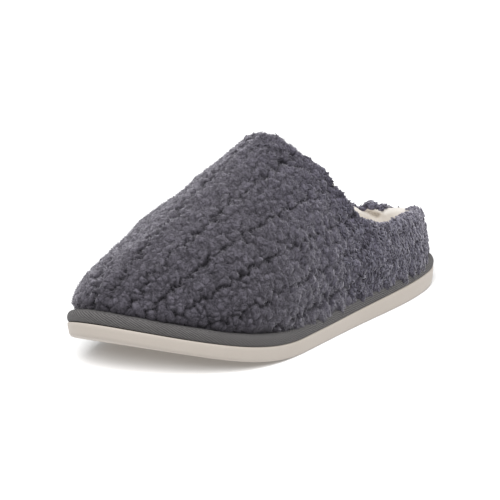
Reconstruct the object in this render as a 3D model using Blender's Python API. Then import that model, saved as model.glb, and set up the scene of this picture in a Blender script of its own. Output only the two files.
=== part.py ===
"""A plush house mule for the left foot: outsole, edge binding, insole and hollow upper.

Metres, +Z up. The toe points to -Y and the outer side of the foot is +X. The origin is on
the floor, under the middle of the shoe's box.
"""

import bpy
import numpy as np

# Driving sizes of the sole
HALF_LENGTH = 0.140
FOREFOOT_THICKNESS = 0.0080
HEEL_THICKNESS = 0.0098
TOE_THICKNESS = 0.0066
TOE_SPRING = 0.0210
SPRING_POWER = 1.8
BALL_LINE = -0.045
HEEL_RISE = 0.0012
HEEL_RISE_START = 0.112
HEEL_WEDGE_START = -0.028
HEEL_WEDGE_END = 0.098

# Edge binding, insole and the gap that touching pieces keep
GAP = 0.0003
BINDING_HEIGHT = 0.0058
BINDING_WIDTH = 0.0096
INSOLE_INSET = 0.0102
INSOLE_HEIGHT = 0.0105
INSOLE_EDGE = 0.0020

# Upper: where it stands on the binding, and its plush and lining together
FEATHER_INSET = 0.0026
WALL = 0.0068

# How finely the forms are cut
STATIONS = 30
RIBS = 96
RIB_STEPS = 16
INNER_STEPS = 9
RIM_STEPS = 4
DENSE = 720

# The sole's outline from above, from the heel down the outer side to the toe and back:
# place on the outline, across, along
OUTLINE = (
    ("heel back", 0.0018, 0.1400),
    ("outer heel corner", 0.0294, 0.1274),
    ("outer heel", 0.0402, 0.1008),
    ("outer waist", 0.0452, 0.0224),
    ("outer ball", 0.0478, -0.0392),
    ("outer toe", 0.0412, -0.1008),
    ("tip, outer side", 0.0052, -0.1364),
    ("toe tip", -0.0094, -0.1400),
    ("tip, inner side", -0.0239, -0.1364),
    ("inner toe", -0.0429, -0.1064),
    ("inner ball", -0.0479, -0.0560),
    ("inner waist", -0.0362, 0.0224),
    ("inner heel", -0.0366, 0.1008),
    ("inner heel corner", -0.0258, 0.1274),
)

# Ribs of the upper, each a curve from the binding to the topline:
# rib, side, feather along, top across, top along, top height,
# wall rise, wall flare, crown reach, crown drop
OUTER, INNER = 1, -1
RIB_TABLE = (
    ("heel back", OUTER, 0.1374, 0.0018, 0.1343, 0.0340, 0.007, 0.0005, 0.0010, 0.008),
    ("outer heel corner", OUTER, 0.1220, 0.0284, 0.1190, 0.0362, 0.007, 0.0005, 0.0010, 0.008),
    ("outer heel", OUTER, 0.0970, 0.0355, 0.0960, 0.0375, 0.008, 0.0010, 0.0015, 0.008),
    ("outer quarter", OUTER, 0.0620, 0.0392, 0.0620, 0.0405, 0.010, 0.0012, 0.0020, 0.010),
    ("outer throat corner", OUTER, 0.0260, 0.0388, 0.0300, 0.0500, 0.014, 0.0015, 0.0035, 0.012),
    ("outer throat side", OUTER, -0.0010, 0.0318, 0.0180, 0.0665, 0.022, 0.0020, 0.0070, 0.013),
    ("outer shoulder", OUTER, -0.0310, 0.0206, 0.0070, 0.0825, 0.028, 0.0024, 0.0150, 0.016),
    ("outer ball", OUTER, -0.0660, 0.0085, 0.0005, 0.0922, 0.027, 0.0024, 0.0320, 0.020),
    ("outer toe", OUTER, -0.1080, 0.0010, -0.0015, 0.0946, 0.022, 0.0020, 0.0500, 0.024),
    ("toe tip", OUTER, -0.1374, -0.0025, -0.0018, 0.0950, 0.020, 0.0012, 0.0600, 0.026),
    ("inner toe", INNER, -0.1120, -0.0060, -0.0015, 0.0944, 0.022, 0.0020, 0.0500, 0.024),
    ("inner ball", INNER, -0.0700, -0.0132, 0.0005, 0.0912, 0.027, 0.0020, 0.0320, 0.020),
    ("inner shoulder", INNER, -0.0330, -0.0230, 0.0070, 0.0810, 0.028, 0.0020, 0.0130, 0.016),
    ("inner throat side", INNER, -0.0010, -0.0302, 0.0180, 0.0655, 0.022, 0.0020, 0.0060, 0.013),
    ("inner throat corner", INNER, 0.0260, -0.0332, 0.0300, 0.0500, 0.014, 0.0015, 0.0030, 0.012),
    ("inner quarter", INNER, 0.0620, -0.0325, 0.0620, 0.0405, 0.010, 0.0012, 0.0020, 0.010),
    ("inner heel", INNER, 0.0970, -0.0319, 0.0960, 0.0365, 0.008, 0.0010, 0.0015, 0.008),
    ("inner heel corner", INNER, 0.1220, -0.0248, 0.1190, 0.0345, 0.007, 0.0005, 0.0010, 0.008),
)


def closed_spline(knots, rows, at):
    """Points at `at` on the smooth closed curve through rows, which starts again at knots[-1].

    Each stretch is a cubic, and the bends at the rows solve the closed spline's equations.
    """
    step = np.diff(knots)
    before = np.roll(step, 1)
    slope = (np.roll(rows, -1, axis=0) - rows) / step[:, None]
    count = len(rows)
    system = np.diag(2 * (before + step))
    for row in range(count):
        system[row, row - 1] += before[row]
        system[row, (row + 1) % count] += step[row]
    bend = np.linalg.solve(system, 6 * (slope - np.roll(slope, 1, axis=0)))
    at = np.mod(at, knots[-1])
    first = np.clip(np.searchsorted(knots, at, side="right") - 1, 0, count - 1)
    after = (first + 1) % count
    width = step[first][:, None]
    ahead = ((at - knots[first]) / step[first])[:, None]
    behind = 1 - ahead
    curve = behind * rows[first] + ahead * rows[after]
    curve += (behind**3 - behind) * bend[first] * width**2 / 6
    curve += (ahead**3 - ahead) * bend[after] * width**2 / 6
    return curve


def lengths_along(line):
    """Distance along a closed line at each of its points, with the whole length last."""
    steps = np.linalg.norm(np.roll(line, -1, axis=0) - line, axis=1)
    return np.concatenate([[0.0], np.cumsum(steps)])


def outward(line):
    """The outward direction at each point of a closed line that runs clockwise from above."""
    run = np.roll(line, -1, axis=0) - np.roll(line, 1, axis=0)
    run /= np.linalg.norm(run, axis=1)[:, None]
    return np.stack([-run[:, 1], run[:, 0]], axis=1)


def outline(inset):
    """The sole's outline from above, drawn in by inset, as many points from the heel back."""
    corners = np.array([[across, along] for _, across, along in OUTLINE])
    knots = lengths_along(corners)
    line = closed_spline(knots, corners, np.linspace(0, knots[-1], DENSE, endpoint=False))
    line = line - inset * outward(line)
    return np.roll(line, -line[:, 1].argmax(), axis=0)


def smooth_step(value, start, end):
    """0 before start, 1 after end, and an even S between them."""
    share = np.clip((value - start) / (end - start), 0, 1)
    return share * share * (3 - 2 * share)


def toe_share(along):
    """How far a place lies from the ball line, 0, to the toe tip, 1."""
    return np.clip((BALL_LINE - along) / (BALL_LINE + HALF_LENGTH), 0, 1)


def sole_bottom(along):
    """Height of the outsole's underside: flat from heel to ball, with toe spring in front."""
    heel = np.clip((along - HEEL_RISE_START) / (HALF_LENGTH - HEEL_RISE_START), 0, 1)
    return TOE_SPRING * toe_share(along) ** SPRING_POWER + HEEL_RISE * heel**2


def sole_top(along):
    """Height of the outsole's top face, a little thicker at the heel and thinner at the toe."""
    wedge = smooth_step(along, HEEL_WEDGE_START, HEEL_WEDGE_END)
    thickness = FOREFOOT_THICKNESS + (HEEL_THICKNESS - FOREFOOT_THICKNESS) * wedge
    thickness = thickness + (TOE_THICKNESS - FOREFOOT_THICKNESS) * toe_share(along)
    return TOE_SPRING * toe_share(along) ** SPRING_POWER + thickness


def ring(inset, surface, lift):
    """A loop of points on the inset outline, lift above surface(along).

    Its points stand in pairs, one on each side at the same place along the shoe.
    """
    line = outline(inset)
    tip = line[:, 1].argmin()
    turn = np.linspace(0, np.pi, STATIONS + 1)
    middle, half = (line[0, 1] + line[tip, 1]) / 2, (line[0, 1] - line[tip, 1]) / 2
    along = middle + half * np.cos(turn)
    outer = np.interp(-along, -line[: tip + 1, 1], line[: tip + 1, 0])
    inner_line = np.vstack([line[tip:], line[:1]])
    inner = np.interp(along, inner_line[:, 1], inner_line[:, 0])
    across = np.concatenate([outer, inner[-2:0:-1]])
    along = np.concatenate([along, along[-2:0:-1]])
    return np.stack([across, along, surface(along) + lift], axis=1)


def band_faces(loops, count):
    """Quads between each pair of neighbouring loops, given as loop numbers."""
    faces = []
    for low, high in loops:
        for point in range(count):
            after = (point + 1) % count
            lower = [low * count + after, low * count + point]
            upper = [high * count + point, high * count + after]
            faces.append(lower + upper)
    return faces


def cap_faces(first, count, up):
    """Quads from side to side across a ring, so that the cap follows the toe spring."""
    faces = []
    for station in range(STATIONS):
        outer = (station, station + 1)
        inner = ((count - station) % count, count - station - 1)
        corners = dict.fromkeys([outer[0], outer[1], inner[1], inner[0]])
        face = [first + corner for corner in corners]
        faces.append(face[::-1] if up else face)
    return faces


def finish_of(name, colour, roughness):
    """A plain material of that colour and roughness."""
    material = bpy.data.materials.new(name)
    material.use_nodes = True
    shader = material.node_tree.nodes["Principled BSDF"]
    shader.inputs["Base Color"].default_value = (*colour, 1.0)
    shader.inputs["Roughness"].default_value = roughness
    return material


def add_piece(name, points, faces, material):
    """A named object with that mesh, shaded smooth but for its sharp edges."""
    mesh = bpy.data.meshes.new(name)
    mesh.from_pydata(points.tolist(), [], faces)
    mesh.validate()
    mesh.shade_smooth()
    mesh.set_sharp_from_angle(angle=np.radians(40))
    mesh.materials.append(material)
    piece = bpy.data.objects.new(name, mesh)
    bpy.context.scene.collection.objects.link(piece)
    return piece


def make_outsole():
    """The moulded sole: flat underside with toe spring, an eased lower edge and a plain side."""
    levels = (
        # inset, surface, lift
        (0.0020, sole_bottom, 0.0),
        (0.0006, sole_bottom, 0.0012),
        (0.0000, sole_top, -0.0010),
        (0.0004, sole_top, 0.0),
    )
    rings = [ring(*level) for level in levels]
    count = len(rings[0])
    last = len(rings) - 1
    faces = band_faces([(level, level + 1) for level in range(last)], count)
    faces += cap_faces(0, count, up=False) + cap_faces(last * count, count, up=True)
    rubber = finish_of("outsole_rubber", (0.66, 0.61, 0.55), 0.55)
    return add_piece("outsole", np.vstack(rings), faces, rubber)


def make_edge_binding():
    """The taped edge between sole and upper: a band with a round outer side."""
    levels = (
        # inset, height above the outsole
        (0.0008, GAP),
        (0.0000, 0.0014),
        (0.0000, 0.0036),
        (0.0009, 0.0051),
        (0.0024, BINDING_HEIGHT),
        (BINDING_WIDTH, BINDING_HEIGHT),
        (BINDING_WIDTH, GAP),
    )
    rings = [ring(inset, sole_top, lift) for inset, lift in levels]
    pairs = [(level, (level + 1) % len(rings)) for level in range(len(rings))]
    tape = finish_of("binding_tape", (0.14, 0.138, 0.14), 0.85)
    return add_piece("edge_binding", np.vstack(rings), band_faces(pairs, len(rings[0])), tape)


def make_insole():
    """The padded footbed, set down inside the binding, with an eased upper edge."""
    levels = (
        # inset, height above the outsole
        (INSOLE_INSET, GAP),
        (INSOLE_INSET, INSOLE_HEIGHT - INSOLE_EDGE),
        (INSOLE_INSET + INSOLE_EDGE, INSOLE_HEIGHT),
    )
    rings = [ring(inset, sole_top, lift) for inset, lift in levels]
    count = len(rings[0])
    last = len(rings) - 1
    faces = band_faces([(level, level + 1) for level in range(last)], count)
    faces += cap_faces(0, count, up=False) + cap_faces(last * count, count, up=True)
    fleece = finish_of("lining_fleece", (0.80, 0.75, 0.66), 0.95)
    return add_piece("insole", np.vstack(rings), faces, fleece)


def upper_ribs(steps):
    """The upper's outer face: points[rib, step] from the binding to the topline.

    Each rib is a cubic curve. It leaves the binding upwards, by the wall's rise and flare, and
    comes to the topline from outside and below, by the crown's reach and drop. The table's
    rows are joined by closed splines along the feather line.
    """
    line = outline(FEATHER_INSET)
    away = outward(line)
    distance = lengths_along(line)
    tip = line[:, 1].argmin()
    knots, rows = [], []
    for _, side, feather_along, *shape in RIB_TABLE:
        half = range(tip + 1) if side == OUTER else range(tip, DENSE)
        nearest = min(half, key=lambda point: abs(line[point, 1] - feather_along))
        knots.append(distance[nearest])
        rows.append(shape)
    knots[0] = 0.0
    knots = np.array([*knots, distance[-1]])
    at = np.linspace(0, distance[-1], RIBS, endpoint=False)
    shape = closed_spline(knots, np.array(rows), at)
    top, rise, flare, reach, drop = shape[:, :3], shape[:, 3], shape[:, 4], shape[:, 5], shape[:, 6]
    closed_line = np.vstack([line, line[:1]])
    closed_away = np.vstack([away, away[:1]])
    foot = np.stack([np.interp(at, distance, closed_line[:, axis]) for axis in range(2)], axis=1)
    outside = np.stack([np.interp(at, distance, closed_away[:, axis]) for axis in range(2)], axis=1)
    foot_height = sole_top(foot[:, 1]) + BINDING_HEIGHT + GAP
    start = np.column_stack([foot, foot_height])
    wall = start + np.column_stack([outside * flare[:, None], rise])
    towards_foot = foot - top[:, :2]
    towards_foot /= np.linalg.norm(towards_foot, axis=1)[:, None]
    crown = top + np.column_stack([towards_foot * reach[:, None], -drop])
    share = np.linspace(0, 1, steps + 1)[None, :, None]
    start, wall, crown, top = (point[:, None, :] for point in (start, wall, crown, top))
    rest = 1 - share
    return start * rest**3 + 3 * wall * rest**2 * share + 3 * crown * rest * share**2 + top * share**3


def face_directions(points):
    """(outward normal, direction up the rib) at each point of a grid of ribs."""
    around = np.roll(points, -1, axis=0) - np.roll(points, 1, axis=0)
    up = np.gradient(points, axis=1)
    normal = np.cross(up, around)
    normal /= np.linalg.norm(normal, axis=2)[:, :, None]
    up /= np.linalg.norm(up, axis=2)[:, :, None]
    return normal, up


def make_upper():
    """The hollow plush upper, open at the topline and underneath, with a rounded rim."""
    outer = upper_ribs(RIB_STEPS)
    inner_source = upper_ribs(INNER_STEPS)
    normal, _ = face_directions(inner_source)
    inner = inner_source - WALL * normal
    inner[:, 0, 2] = inner_source[:, 0, 2]
    top_normal, top_up = (field[:, -1] for field in face_directions(outer))
    centre = outer[:, -1] - top_normal * WALL / 2
    inner[:, -1] = centre - top_normal * WALL / 2
    turns = np.linspace(0, np.pi, RIM_STEPS + 2)[1:-1]
    rim = [centre + (np.cos(turn) * top_normal + np.sin(turn) * top_up) * WALL / 2 for turn in turns]
    loops = [outer[:, step] for step in range(RIB_STEPS + 1)]
    loops += rim
    loops += [inner[:, step] for step in range(INNER_STEPS, -1, -1)]
    pairs = [(loop, (loop + 1) % len(loops)) for loop in range(len(loops))]
    plush = finish_of("plush", (0.115, 0.111, 0.124), 0.95)
    return add_piece("upper", np.vstack(loops), band_faces(pairs, RIBS), plush)


def main():
    for old in list(bpy.data.objects):
        bpy.data.objects.remove(old)
    shoe = bpy.data.objects.new("mule", None)
    bpy.context.scene.collection.objects.link(shoe)
    for make in (make_outsole, make_edge_binding, make_insole, make_upper):
        make().parent = shoe


main()
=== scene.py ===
# %% [markdown]
# # A plush house mule, dressed
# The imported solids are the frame. They stand for the pieces that a slipper maker puts together:
# a moulded outsole, a taped edge, a footbed and a hollow plush upper. This script gives each of
# them the surface that the real one has, in the same metres and in the same place: the toe
# points to -Y, the outer side of the foot is +X, and the floor is at 0.

import bmesh
import bpy
import numpy as np
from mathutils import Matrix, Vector


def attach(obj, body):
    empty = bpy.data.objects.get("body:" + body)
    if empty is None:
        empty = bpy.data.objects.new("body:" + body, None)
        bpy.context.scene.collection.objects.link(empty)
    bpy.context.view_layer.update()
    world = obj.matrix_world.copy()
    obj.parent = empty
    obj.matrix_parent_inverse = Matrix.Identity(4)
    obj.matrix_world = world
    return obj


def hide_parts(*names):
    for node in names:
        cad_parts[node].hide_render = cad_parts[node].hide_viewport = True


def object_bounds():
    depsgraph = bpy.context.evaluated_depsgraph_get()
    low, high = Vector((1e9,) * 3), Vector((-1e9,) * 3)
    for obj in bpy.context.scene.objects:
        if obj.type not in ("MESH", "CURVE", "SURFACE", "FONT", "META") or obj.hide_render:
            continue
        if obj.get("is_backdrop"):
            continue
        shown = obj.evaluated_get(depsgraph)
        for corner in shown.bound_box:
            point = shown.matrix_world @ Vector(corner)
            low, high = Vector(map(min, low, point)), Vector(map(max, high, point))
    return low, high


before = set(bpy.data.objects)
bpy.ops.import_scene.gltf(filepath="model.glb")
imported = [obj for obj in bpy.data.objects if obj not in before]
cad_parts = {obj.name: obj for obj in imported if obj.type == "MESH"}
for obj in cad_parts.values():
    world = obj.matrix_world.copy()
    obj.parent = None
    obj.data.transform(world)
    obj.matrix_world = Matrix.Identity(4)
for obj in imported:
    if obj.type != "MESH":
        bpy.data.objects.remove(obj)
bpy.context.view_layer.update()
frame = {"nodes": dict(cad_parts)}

print("solids:", ", ".join(frame["nodes"]))

# %% [markdown]
# ## Camera
# A product photograph of a shoe is taken with a long lens from about a metre, so the lines of
# the sole hardly converge. The camera could be placed by eye. Here it is worked out: how far it
# is turned and raised, how far away it stands, and the pixel where the middle of the shoe lies.

# %% Camera
PHOTO_SIDE = 500
CAMERA_TURN, CAMERA_RISE = np.radians(30.0), np.radians(12.37)
CAMERA_DISTANCE = 1.1937
CAMERA_TARGET = np.array([0.00175, 0.0, 0.0363])
TARGET_PIXEL = np.array([270.1, 251.8])
FOCAL_PIXELS = 2379.0
SENSOR_WIDTH = 36.0


def add_camera():
    """A camera at a turn and rise round the target, aimed so that the target meets its pixel.

    One pixel at the target is distance / focal length wide, so the aim moves by that much for
    each pixel between the target and the middle of the picture.
    """
    back = np.array([
        np.sin(CAMERA_TURN) * np.cos(CAMERA_RISE),
        -np.cos(CAMERA_TURN) * np.cos(CAMERA_RISE),
        np.sin(CAMERA_RISE),
    ])
    right = np.array([np.cos(CAMERA_TURN), np.sin(CAMERA_TURN), 0.0])
    up = np.cross(back, right)
    off = (TARGET_PIXEL - PHOTO_SIDE / 2) * CAMERA_DISTANCE / FOCAL_PIXELS
    aim = CAMERA_TARGET - right * off[0] + up * off[1]
    lens = bpy.data.cameras.new("camera")
    lens.sensor_width = SENSOR_WIDTH
    lens.lens = FOCAL_PIXELS / PHOTO_SIDE * SENSOR_WIDTH
    camera = bpy.data.objects.new("camera", lens)
    camera.location = CAMERA_TARGET + back * CAMERA_DISTANCE
    camera.rotation_euler = (Vector(aim) - camera.location).to_track_quat("-Z", "Y").to_euler()
    bpy.context.scene.collection.objects.link(camera)
    bpy.context.scene.camera = camera
    return camera


camera = add_camera()
print(f"camera: {camera.data.lens:.1f} mm lens at {[round(v, 3) for v in camera.location]}")

# %% [markdown]
# ## Light
# The studio is a white tent: light comes from everywhere, a little more from above and in front.
# A bright world gives the tent, and one very broad sun gives the soft side to the shadows.
# The Standard view keeps the greys of the plush as they are and lets the white paper go white.

# %% Light
TENT_STRENGTH = 0.62
SUN_STRENGTH, SUN_SOFTNESS = 2.05, np.radians(80)
SUN_FROM = (0.15, -0.35, 1.0)


def add_tent():
    """A white world of even strength."""
    world = bpy.data.worlds.new("tent")
    world.use_nodes = True
    tent = world.node_tree.nodes["Background"]
    tent.inputs["Color"].default_value = (1.0, 1.0, 1.0, 1.0)
    tent.inputs["Strength"].default_value = TENT_STRENGTH
    bpy.context.scene.world = world


def add_sun(name, strength, softness, source):
    """A sun that shines from a direction, and is soft because it fills a wide angle."""
    lamp = bpy.data.lights.new(name, "SUN")
    lamp.energy, lamp.angle = strength, softness
    sun = bpy.data.objects.new(name, lamp)
    sun.rotation_euler = Vector(source).to_track_quat("Z", "Y").to_euler()
    bpy.context.scene.collection.objects.link(sun)
    return sun


add_tent()
broad_sun = add_sun("broad_sun", SUN_STRENGTH, SUN_SOFTNESS, SUN_FROM)
bpy.context.scene.view_settings.view_transform = "Standard"
print("light: white tent and one broad sun")

# %% [markdown]
# ## Meshes from arrays
# Every piece below is a grid of points, worked out all at once with numpy. One helper turns the
# points and the corner numbers of the faces into a mesh, and stores what the material needs:
# numbers on the points, as attributes, and a flat layout of the faces, as a UV map.

# %% From arrays to a mesh
def mesh_of(name, points, faces, layout=None):
    """A mesh from points [n, 3] and a list of face arrays, each [m, corners].

    layout has the same arrays as faces, with two flat coordinates for each corner.
    """
    corners = np.concatenate([face.ravel() for face in faces]).astype(np.int32)
    sizes = np.concatenate([np.full(len(face), face.shape[1]) for face in faces])
    mesh = bpy.data.meshes.new(name)
    mesh.vertices.add(len(points))
    mesh.vertices.foreach_set("co", np.ascontiguousarray(points, np.float32).ravel())
    mesh.loops.add(len(corners))
    mesh.loops.foreach_set("vertex_index", corners)
    mesh.polygons.add(len(sizes))
    mesh.polygons.foreach_set("loop_start", (np.cumsum(sizes) - sizes).astype(np.int32))
    mesh.update(calc_edges=True)
    if layout is not None:
        flat = np.concatenate([part.reshape(-1, 2) for part in layout]).astype(np.float32)
        mesh.uv_layers.new(name="OFBake").data.foreach_set("uv", flat.ravel())
    mesh.validate()
    mesh.shade_smooth()
    return mesh


def set_numbers(mesh, name, values):
    """One number on each point, for the material to read by name."""
    field = mesh.attributes.new(name, "FLOAT", "POINT")
    field.data.foreach_set("value", np.ascontiguousarray(values, np.float32).ravel())


def set_directions(mesh, name, vectors):
    """One direction on each point, for the material to read by name."""
    field = mesh.attributes.new(name, "FLOAT_VECTOR", "POINT")
    field.data.foreach_set("vector", np.ascontiguousarray(vectors, np.float32).ravel())


print("meshes: points and faces, with a UV map and numbers on the points")

# %% Squares of a grid
def squares(columns, rows, wrap_columns=False, wrap_rows=False):
    """Faces of a grid whose point (column, row) has the number column * rows + row, and its layout.

    Each square goes (next column, row), (column, row), (column, next row), (next, next).
    """
    column, row = np.meshgrid(
        np.arange(columns - (not wrap_columns)), np.arange(rows - (not wrap_rows)), indexing="ij"
    )
    column, row = column.ravel(), row.ravel()
    across = np.stack([column + 1, column, column, column + 1], axis=1)
    along = np.stack([row, row, row + 1, row + 1], axis=1)
    faces = across % columns * rows + along % rows
    spread = np.array([columns - (not wrap_columns), rows - (not wrap_rows)])
    return faces, np.stack([across, along], axis=2) / spread


print(f"grid: {len(squares(4, 3)[0])} squares on 4 by 3 points")

# %% A piece on the shoe
BODY = "root"


def add_piece(name, mesh, finish, slot, *stands_for):
    """An object at the origin that rides on the shoe, with its material and the solids it replaces."""
    mesh.materials.append(finish)
    piece = bpy.data.objects.new(name, mesh)
    bpy.context.scene.collection.objects.link(piece)
    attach(piece, BODY)
    if stands_for:
        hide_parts(*stands_for)
    triangles = len(mesh.loops) - 2 * len(mesh.polygons)
    print(f"{name}: {len(mesh.vertices)} points, {triangles} triangles")
    return piece


print(f"pieces: ride on the body {BODY}")

# %% [markdown]
# ## Materials
# A finish is a Principled shader with a few nodes in front of it. The colours come from numbers
# stored on the points, such as a tone that holds painted shade where a place lies deep in the pile,
# or from noise on the object's own coordinates, so that they stay in place when the shoe is seen
# from another side.

# %% Node helpers
class Nodes:
    """A new material with short names for adding and joining its nodes."""

    def __init__(self, name, roughness):
        self.material = bpy.data.materials.new(name)
        self.material.use_nodes = True
        self.tree = self.material.node_tree
        self.shader = self.tree.nodes["Principled BSDF"]
        self.shader.inputs["Roughness"].default_value = roughness

    def add(self, kind, **values):
        """A node of that kind; each value sets an input by name, with _ for a space, or a property."""
        node = self.tree.nodes.new(kind)
        for key, value in values.items():
            socket = node.inputs.get(key.replace("_", " "))
            if socket is not None and not hasattr(node, key):
                self.feed(value, socket)
            else:
                setattr(node, key, value)
        return node

    def feed(self, value, socket):
        """Joins an output to an input, or sets the input to a number or colour."""
        if isinstance(value, bpy.types.NodeSocket):
            self.tree.links.new(value, socket)
        else:
            socket.default_value = value

    def object_place(self):
        """The point's own place on the object, in metres."""
        return self.add("ShaderNodeTexCoord").outputs["Object"]

    def number(self, name):
        """A number stored on the points."""
        return self.add("ShaderNodeAttribute", attribute_name=name).outputs["Fac"]

    def noise(self, size, detail=2.0, roughness=0.5):
        """Noise whose blotches are about that many metres across."""
        node = self.add("ShaderNodeTexNoise", Vector=self.object_place())
        node.inputs["Scale"].default_value = 1.0 / size
        node.inputs["Detail"].default_value = detail
        node.inputs["Roughness"].default_value = roughness
        return node.outputs["Fac"]

    def maths(self, operation, *numbers):
        """One step of arithmetic on one, two or three numbers."""
        node = self.add("ShaderNodeMath", operation=operation)
        for number, socket in zip(numbers, node.inputs):
            self.feed(number, socket)
        return node.outputs["Value"]

    def speckle(self, size, gain, detail):
        """Noise times a gain, to be added to a tone."""
        return self.maths("MULTIPLY", self.noise(size, detail), gain)


print("nodes: places, stored numbers, noise and arithmetic")

# %% Finish helpers
class Finish(Nodes):
    """A material with what a finish needs: colours, a rough surface and a soft light edge."""

    def ramp(self, number, stops):
        """Colours along a number: stops are (place, colour)."""
        node = self.add("ShaderNodeValToRGB", Fac=number)
        band = node.color_ramp.elements
        while len(band) < len(stops):
            band.new(0.5)
        for element, (place, colour) in zip(band, stops):
            element.position, element.color = place, (*colour, 1.0)
        return node.outputs["Color"]

    def tinted(self, colour, tint):
        """The product of two colours; a Mix node keeps its colour sockets behind those for numbers."""
        node = self.add("ShaderNodeMix", data_type="RGBA", blend_type="MULTIPLY")
        for value, place in ((1.0, 0), (colour, 6), (tint, 7)):
            self.feed(value, node.inputs[place])
        return node.outputs[2]

    def paint(self, colour):
        """Gives the shader its colour."""
        self.feed(colour, self.shader.inputs["Base Color"])

    def bump(self, height, distance, strength):
        """Roughens the shading by a height, where 1 stands for that distance."""
        node = self.add("ShaderNodeBump", Height=height)
        node.inputs["Distance"].default_value = distance
        node.inputs["Strength"].default_value = strength
        self.feed(node.outputs["Normal"], self.shader.inputs["Normal"])

    def sheen(self, weight, roughness, tint):
        """The soft light edge of a fabric with a nap."""
        self.shader.inputs["Sheen Weight"].default_value = weight
        self.shader.inputs["Sheen Roughness"].default_value = roughness
        self.shader.inputs["Sheen Tint"].default_value = (*tint, 1.0)


print("materials: one Principled shader for each finish")

# %% [markdown]
# ## Floor
# White paper, much wider than the picture. It is part of the studio, not of the shoe. A second sun
# from the front lights the paper alone, and the first one leaves the paper out. So the paper burns
# out to white and only the dark heart of the shadow under the toe is left, as in the photograph.
# So bright a paper would light the shoe from below, so it is hidden from the rays that carry
# diffuse light.

# %% Floor
FLOOR_HALF = 6.0
PAPER, PAPER_GLOW, GLOW_TINT = 0.62, 0.01, (1.0, 0.985, 0.97, 1.0)
CLOUD_SIZE, CLOUD_TONE = 0.4, 0.01
PAPER_SUN, PAPER_SUN_SOFTNESS = 9.4, np.radians(30)
PAPER_SUN_FROM = (0.34, -0.75, 0.53)


def add_floor():
    """One square of paper at height 0."""
    reach = np.array([-1.0, 1.0]) * FLOOR_HALF
    across, along = np.meshgrid(reach, reach, indexing="ij")
    points = np.stack([across.ravel(), along.ravel(), np.zeros(4)], axis=1)
    paper = Finish("white_paper", roughness=0.9)
    clouds = [(0.0, (PAPER - CLOUD_TONE,) * 3), (1.0, (PAPER + CLOUD_TONE,) * 3)]
    paper.paint(paper.ramp(paper.noise(CLOUD_SIZE), clouds))
    paper.shader.inputs["Emission Color"].default_value = GLOW_TINT
    paper.shader.inputs["Emission Strength"].default_value = PAPER_GLOW
    mesh = mesh_of("paper_floor", points, [squares(2, 2)[0][:, ::-1]])
    mesh.materials.append(paper.material)
    floor = bpy.data.objects.new("paper_floor", mesh)
    floor.visible_diffuse = False
    bpy.context.scene.collection.objects.link(floor)
    floor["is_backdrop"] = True
    return floor


def light_floor(floor):
    """A sun that shines on the paper alone; the shoe still casts its shadow there.

    A lamp's light linking lists the objects that it reaches, and the broad sun's leaves one out.
    """
    sun = add_sun("paper_sun", PAPER_SUN, PAPER_SUN_SOFTNESS, PAPER_SUN_FROM)
    paper_only = bpy.data.collections.new("paper_only")
    paper_only.objects.link(floor)
    sun.light_linking.receiver_collection = paper_only
    all_but_paper = bpy.data.collections.new("all_but_paper")
    all_but_paper.objects.link(floor)
    all_but_paper.collection_objects[0].light_linking.link_state = "EXCLUDE"
    broad_sun.light_linking.receiver_collection = all_but_paper


light_floor(add_floor())
print(f"floor: white paper, {2 * FLOOR_HALF:.0f} m wide")

# %% [markdown]
# ## The outline
# Sole, tape, footbed and upper all follow one outline. A pattern cutter draws it as a smooth line
# through a few points; here that is a closed spline. It runs from the back of the heel down the
# outer side to the toe and back along the inner side.

# %% Closed spline
def closed_spline(knots, rows, at):
    """Points at `at` on the smooth closed curve through rows, which starts again at knots[-1].

    Each stretch is a cubic, and the bends at the rows solve the closed spline's equations.
    """
    step = np.diff(knots)
    before = np.roll(step, 1)
    slope = (np.roll(rows, -1, axis=0) - rows) / step[:, None]
    count = len(rows)
    here = np.arange(count)
    system = np.diag(2 * (before + step))
    system[here, here - 1] += before
    system[here, (here + 1) % count] += step
    bend = np.linalg.solve(system, 6 * (slope - np.roll(slope, 1, axis=0)))
    at = np.mod(at, knots[-1])
    first = np.clip(np.searchsorted(knots, at, side="right") - 1, 0, count - 1)
    after = (first + 1) % count
    width = step[first][:, None]
    ahead = ((at - knots[first]) / step[first])[:, None]
    behind = 1 - ahead
    curve = behind * rows[first] + ahead * rows[after]
    curve += (behind**3 - behind) * bend[first] * width**2 / 6
    curve += (ahead**3 - ahead) * bend[after] * width**2 / 6
    return curve


turns = np.linspace(0, 2 * np.pi, 9)
circle = np.stack([np.sin(turns), np.cos(turns)], axis=1)[:8]
smooth_circle = closed_spline(turns, circle, np.linspace(0, 2 * np.pi, 100))
print(f"spline: through 8 points of a circle, off by {np.ptp(np.linalg.norm(smooth_circle, axis=1)):.4f}")

# %% Along a closed line
def lengths_along(line):
    """Distance along a closed line at each of its points, with the whole length last."""
    steps = np.linalg.norm(np.roll(line, -1, axis=0) - line, axis=1)
    return np.concatenate([[0.0], np.cumsum(steps)])


def outward(line):
    """The outward direction at each point of a closed line that runs clockwise from above."""
    run = np.roll(line, -1, axis=0) - np.roll(line, 1, axis=0)
    run /= np.linalg.norm(run, axis=1)[:, None]
    return np.stack([-run[:, 1], run[:, 0]], axis=1)


def read_round(line, values, at):
    """Values stored along a closed line, read at distances from its start."""
    distance = lengths_along(line)
    closed = np.vstack([values, values[:1]])
    at = np.mod(at, distance[-1])
    return np.stack([np.interp(at, distance, column) for column in closed.T], axis=1)


print(f"circle: {lengths_along(smooth_circle)[-1]:.3f} round, and two pi is {2 * np.pi:.3f}")

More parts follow.
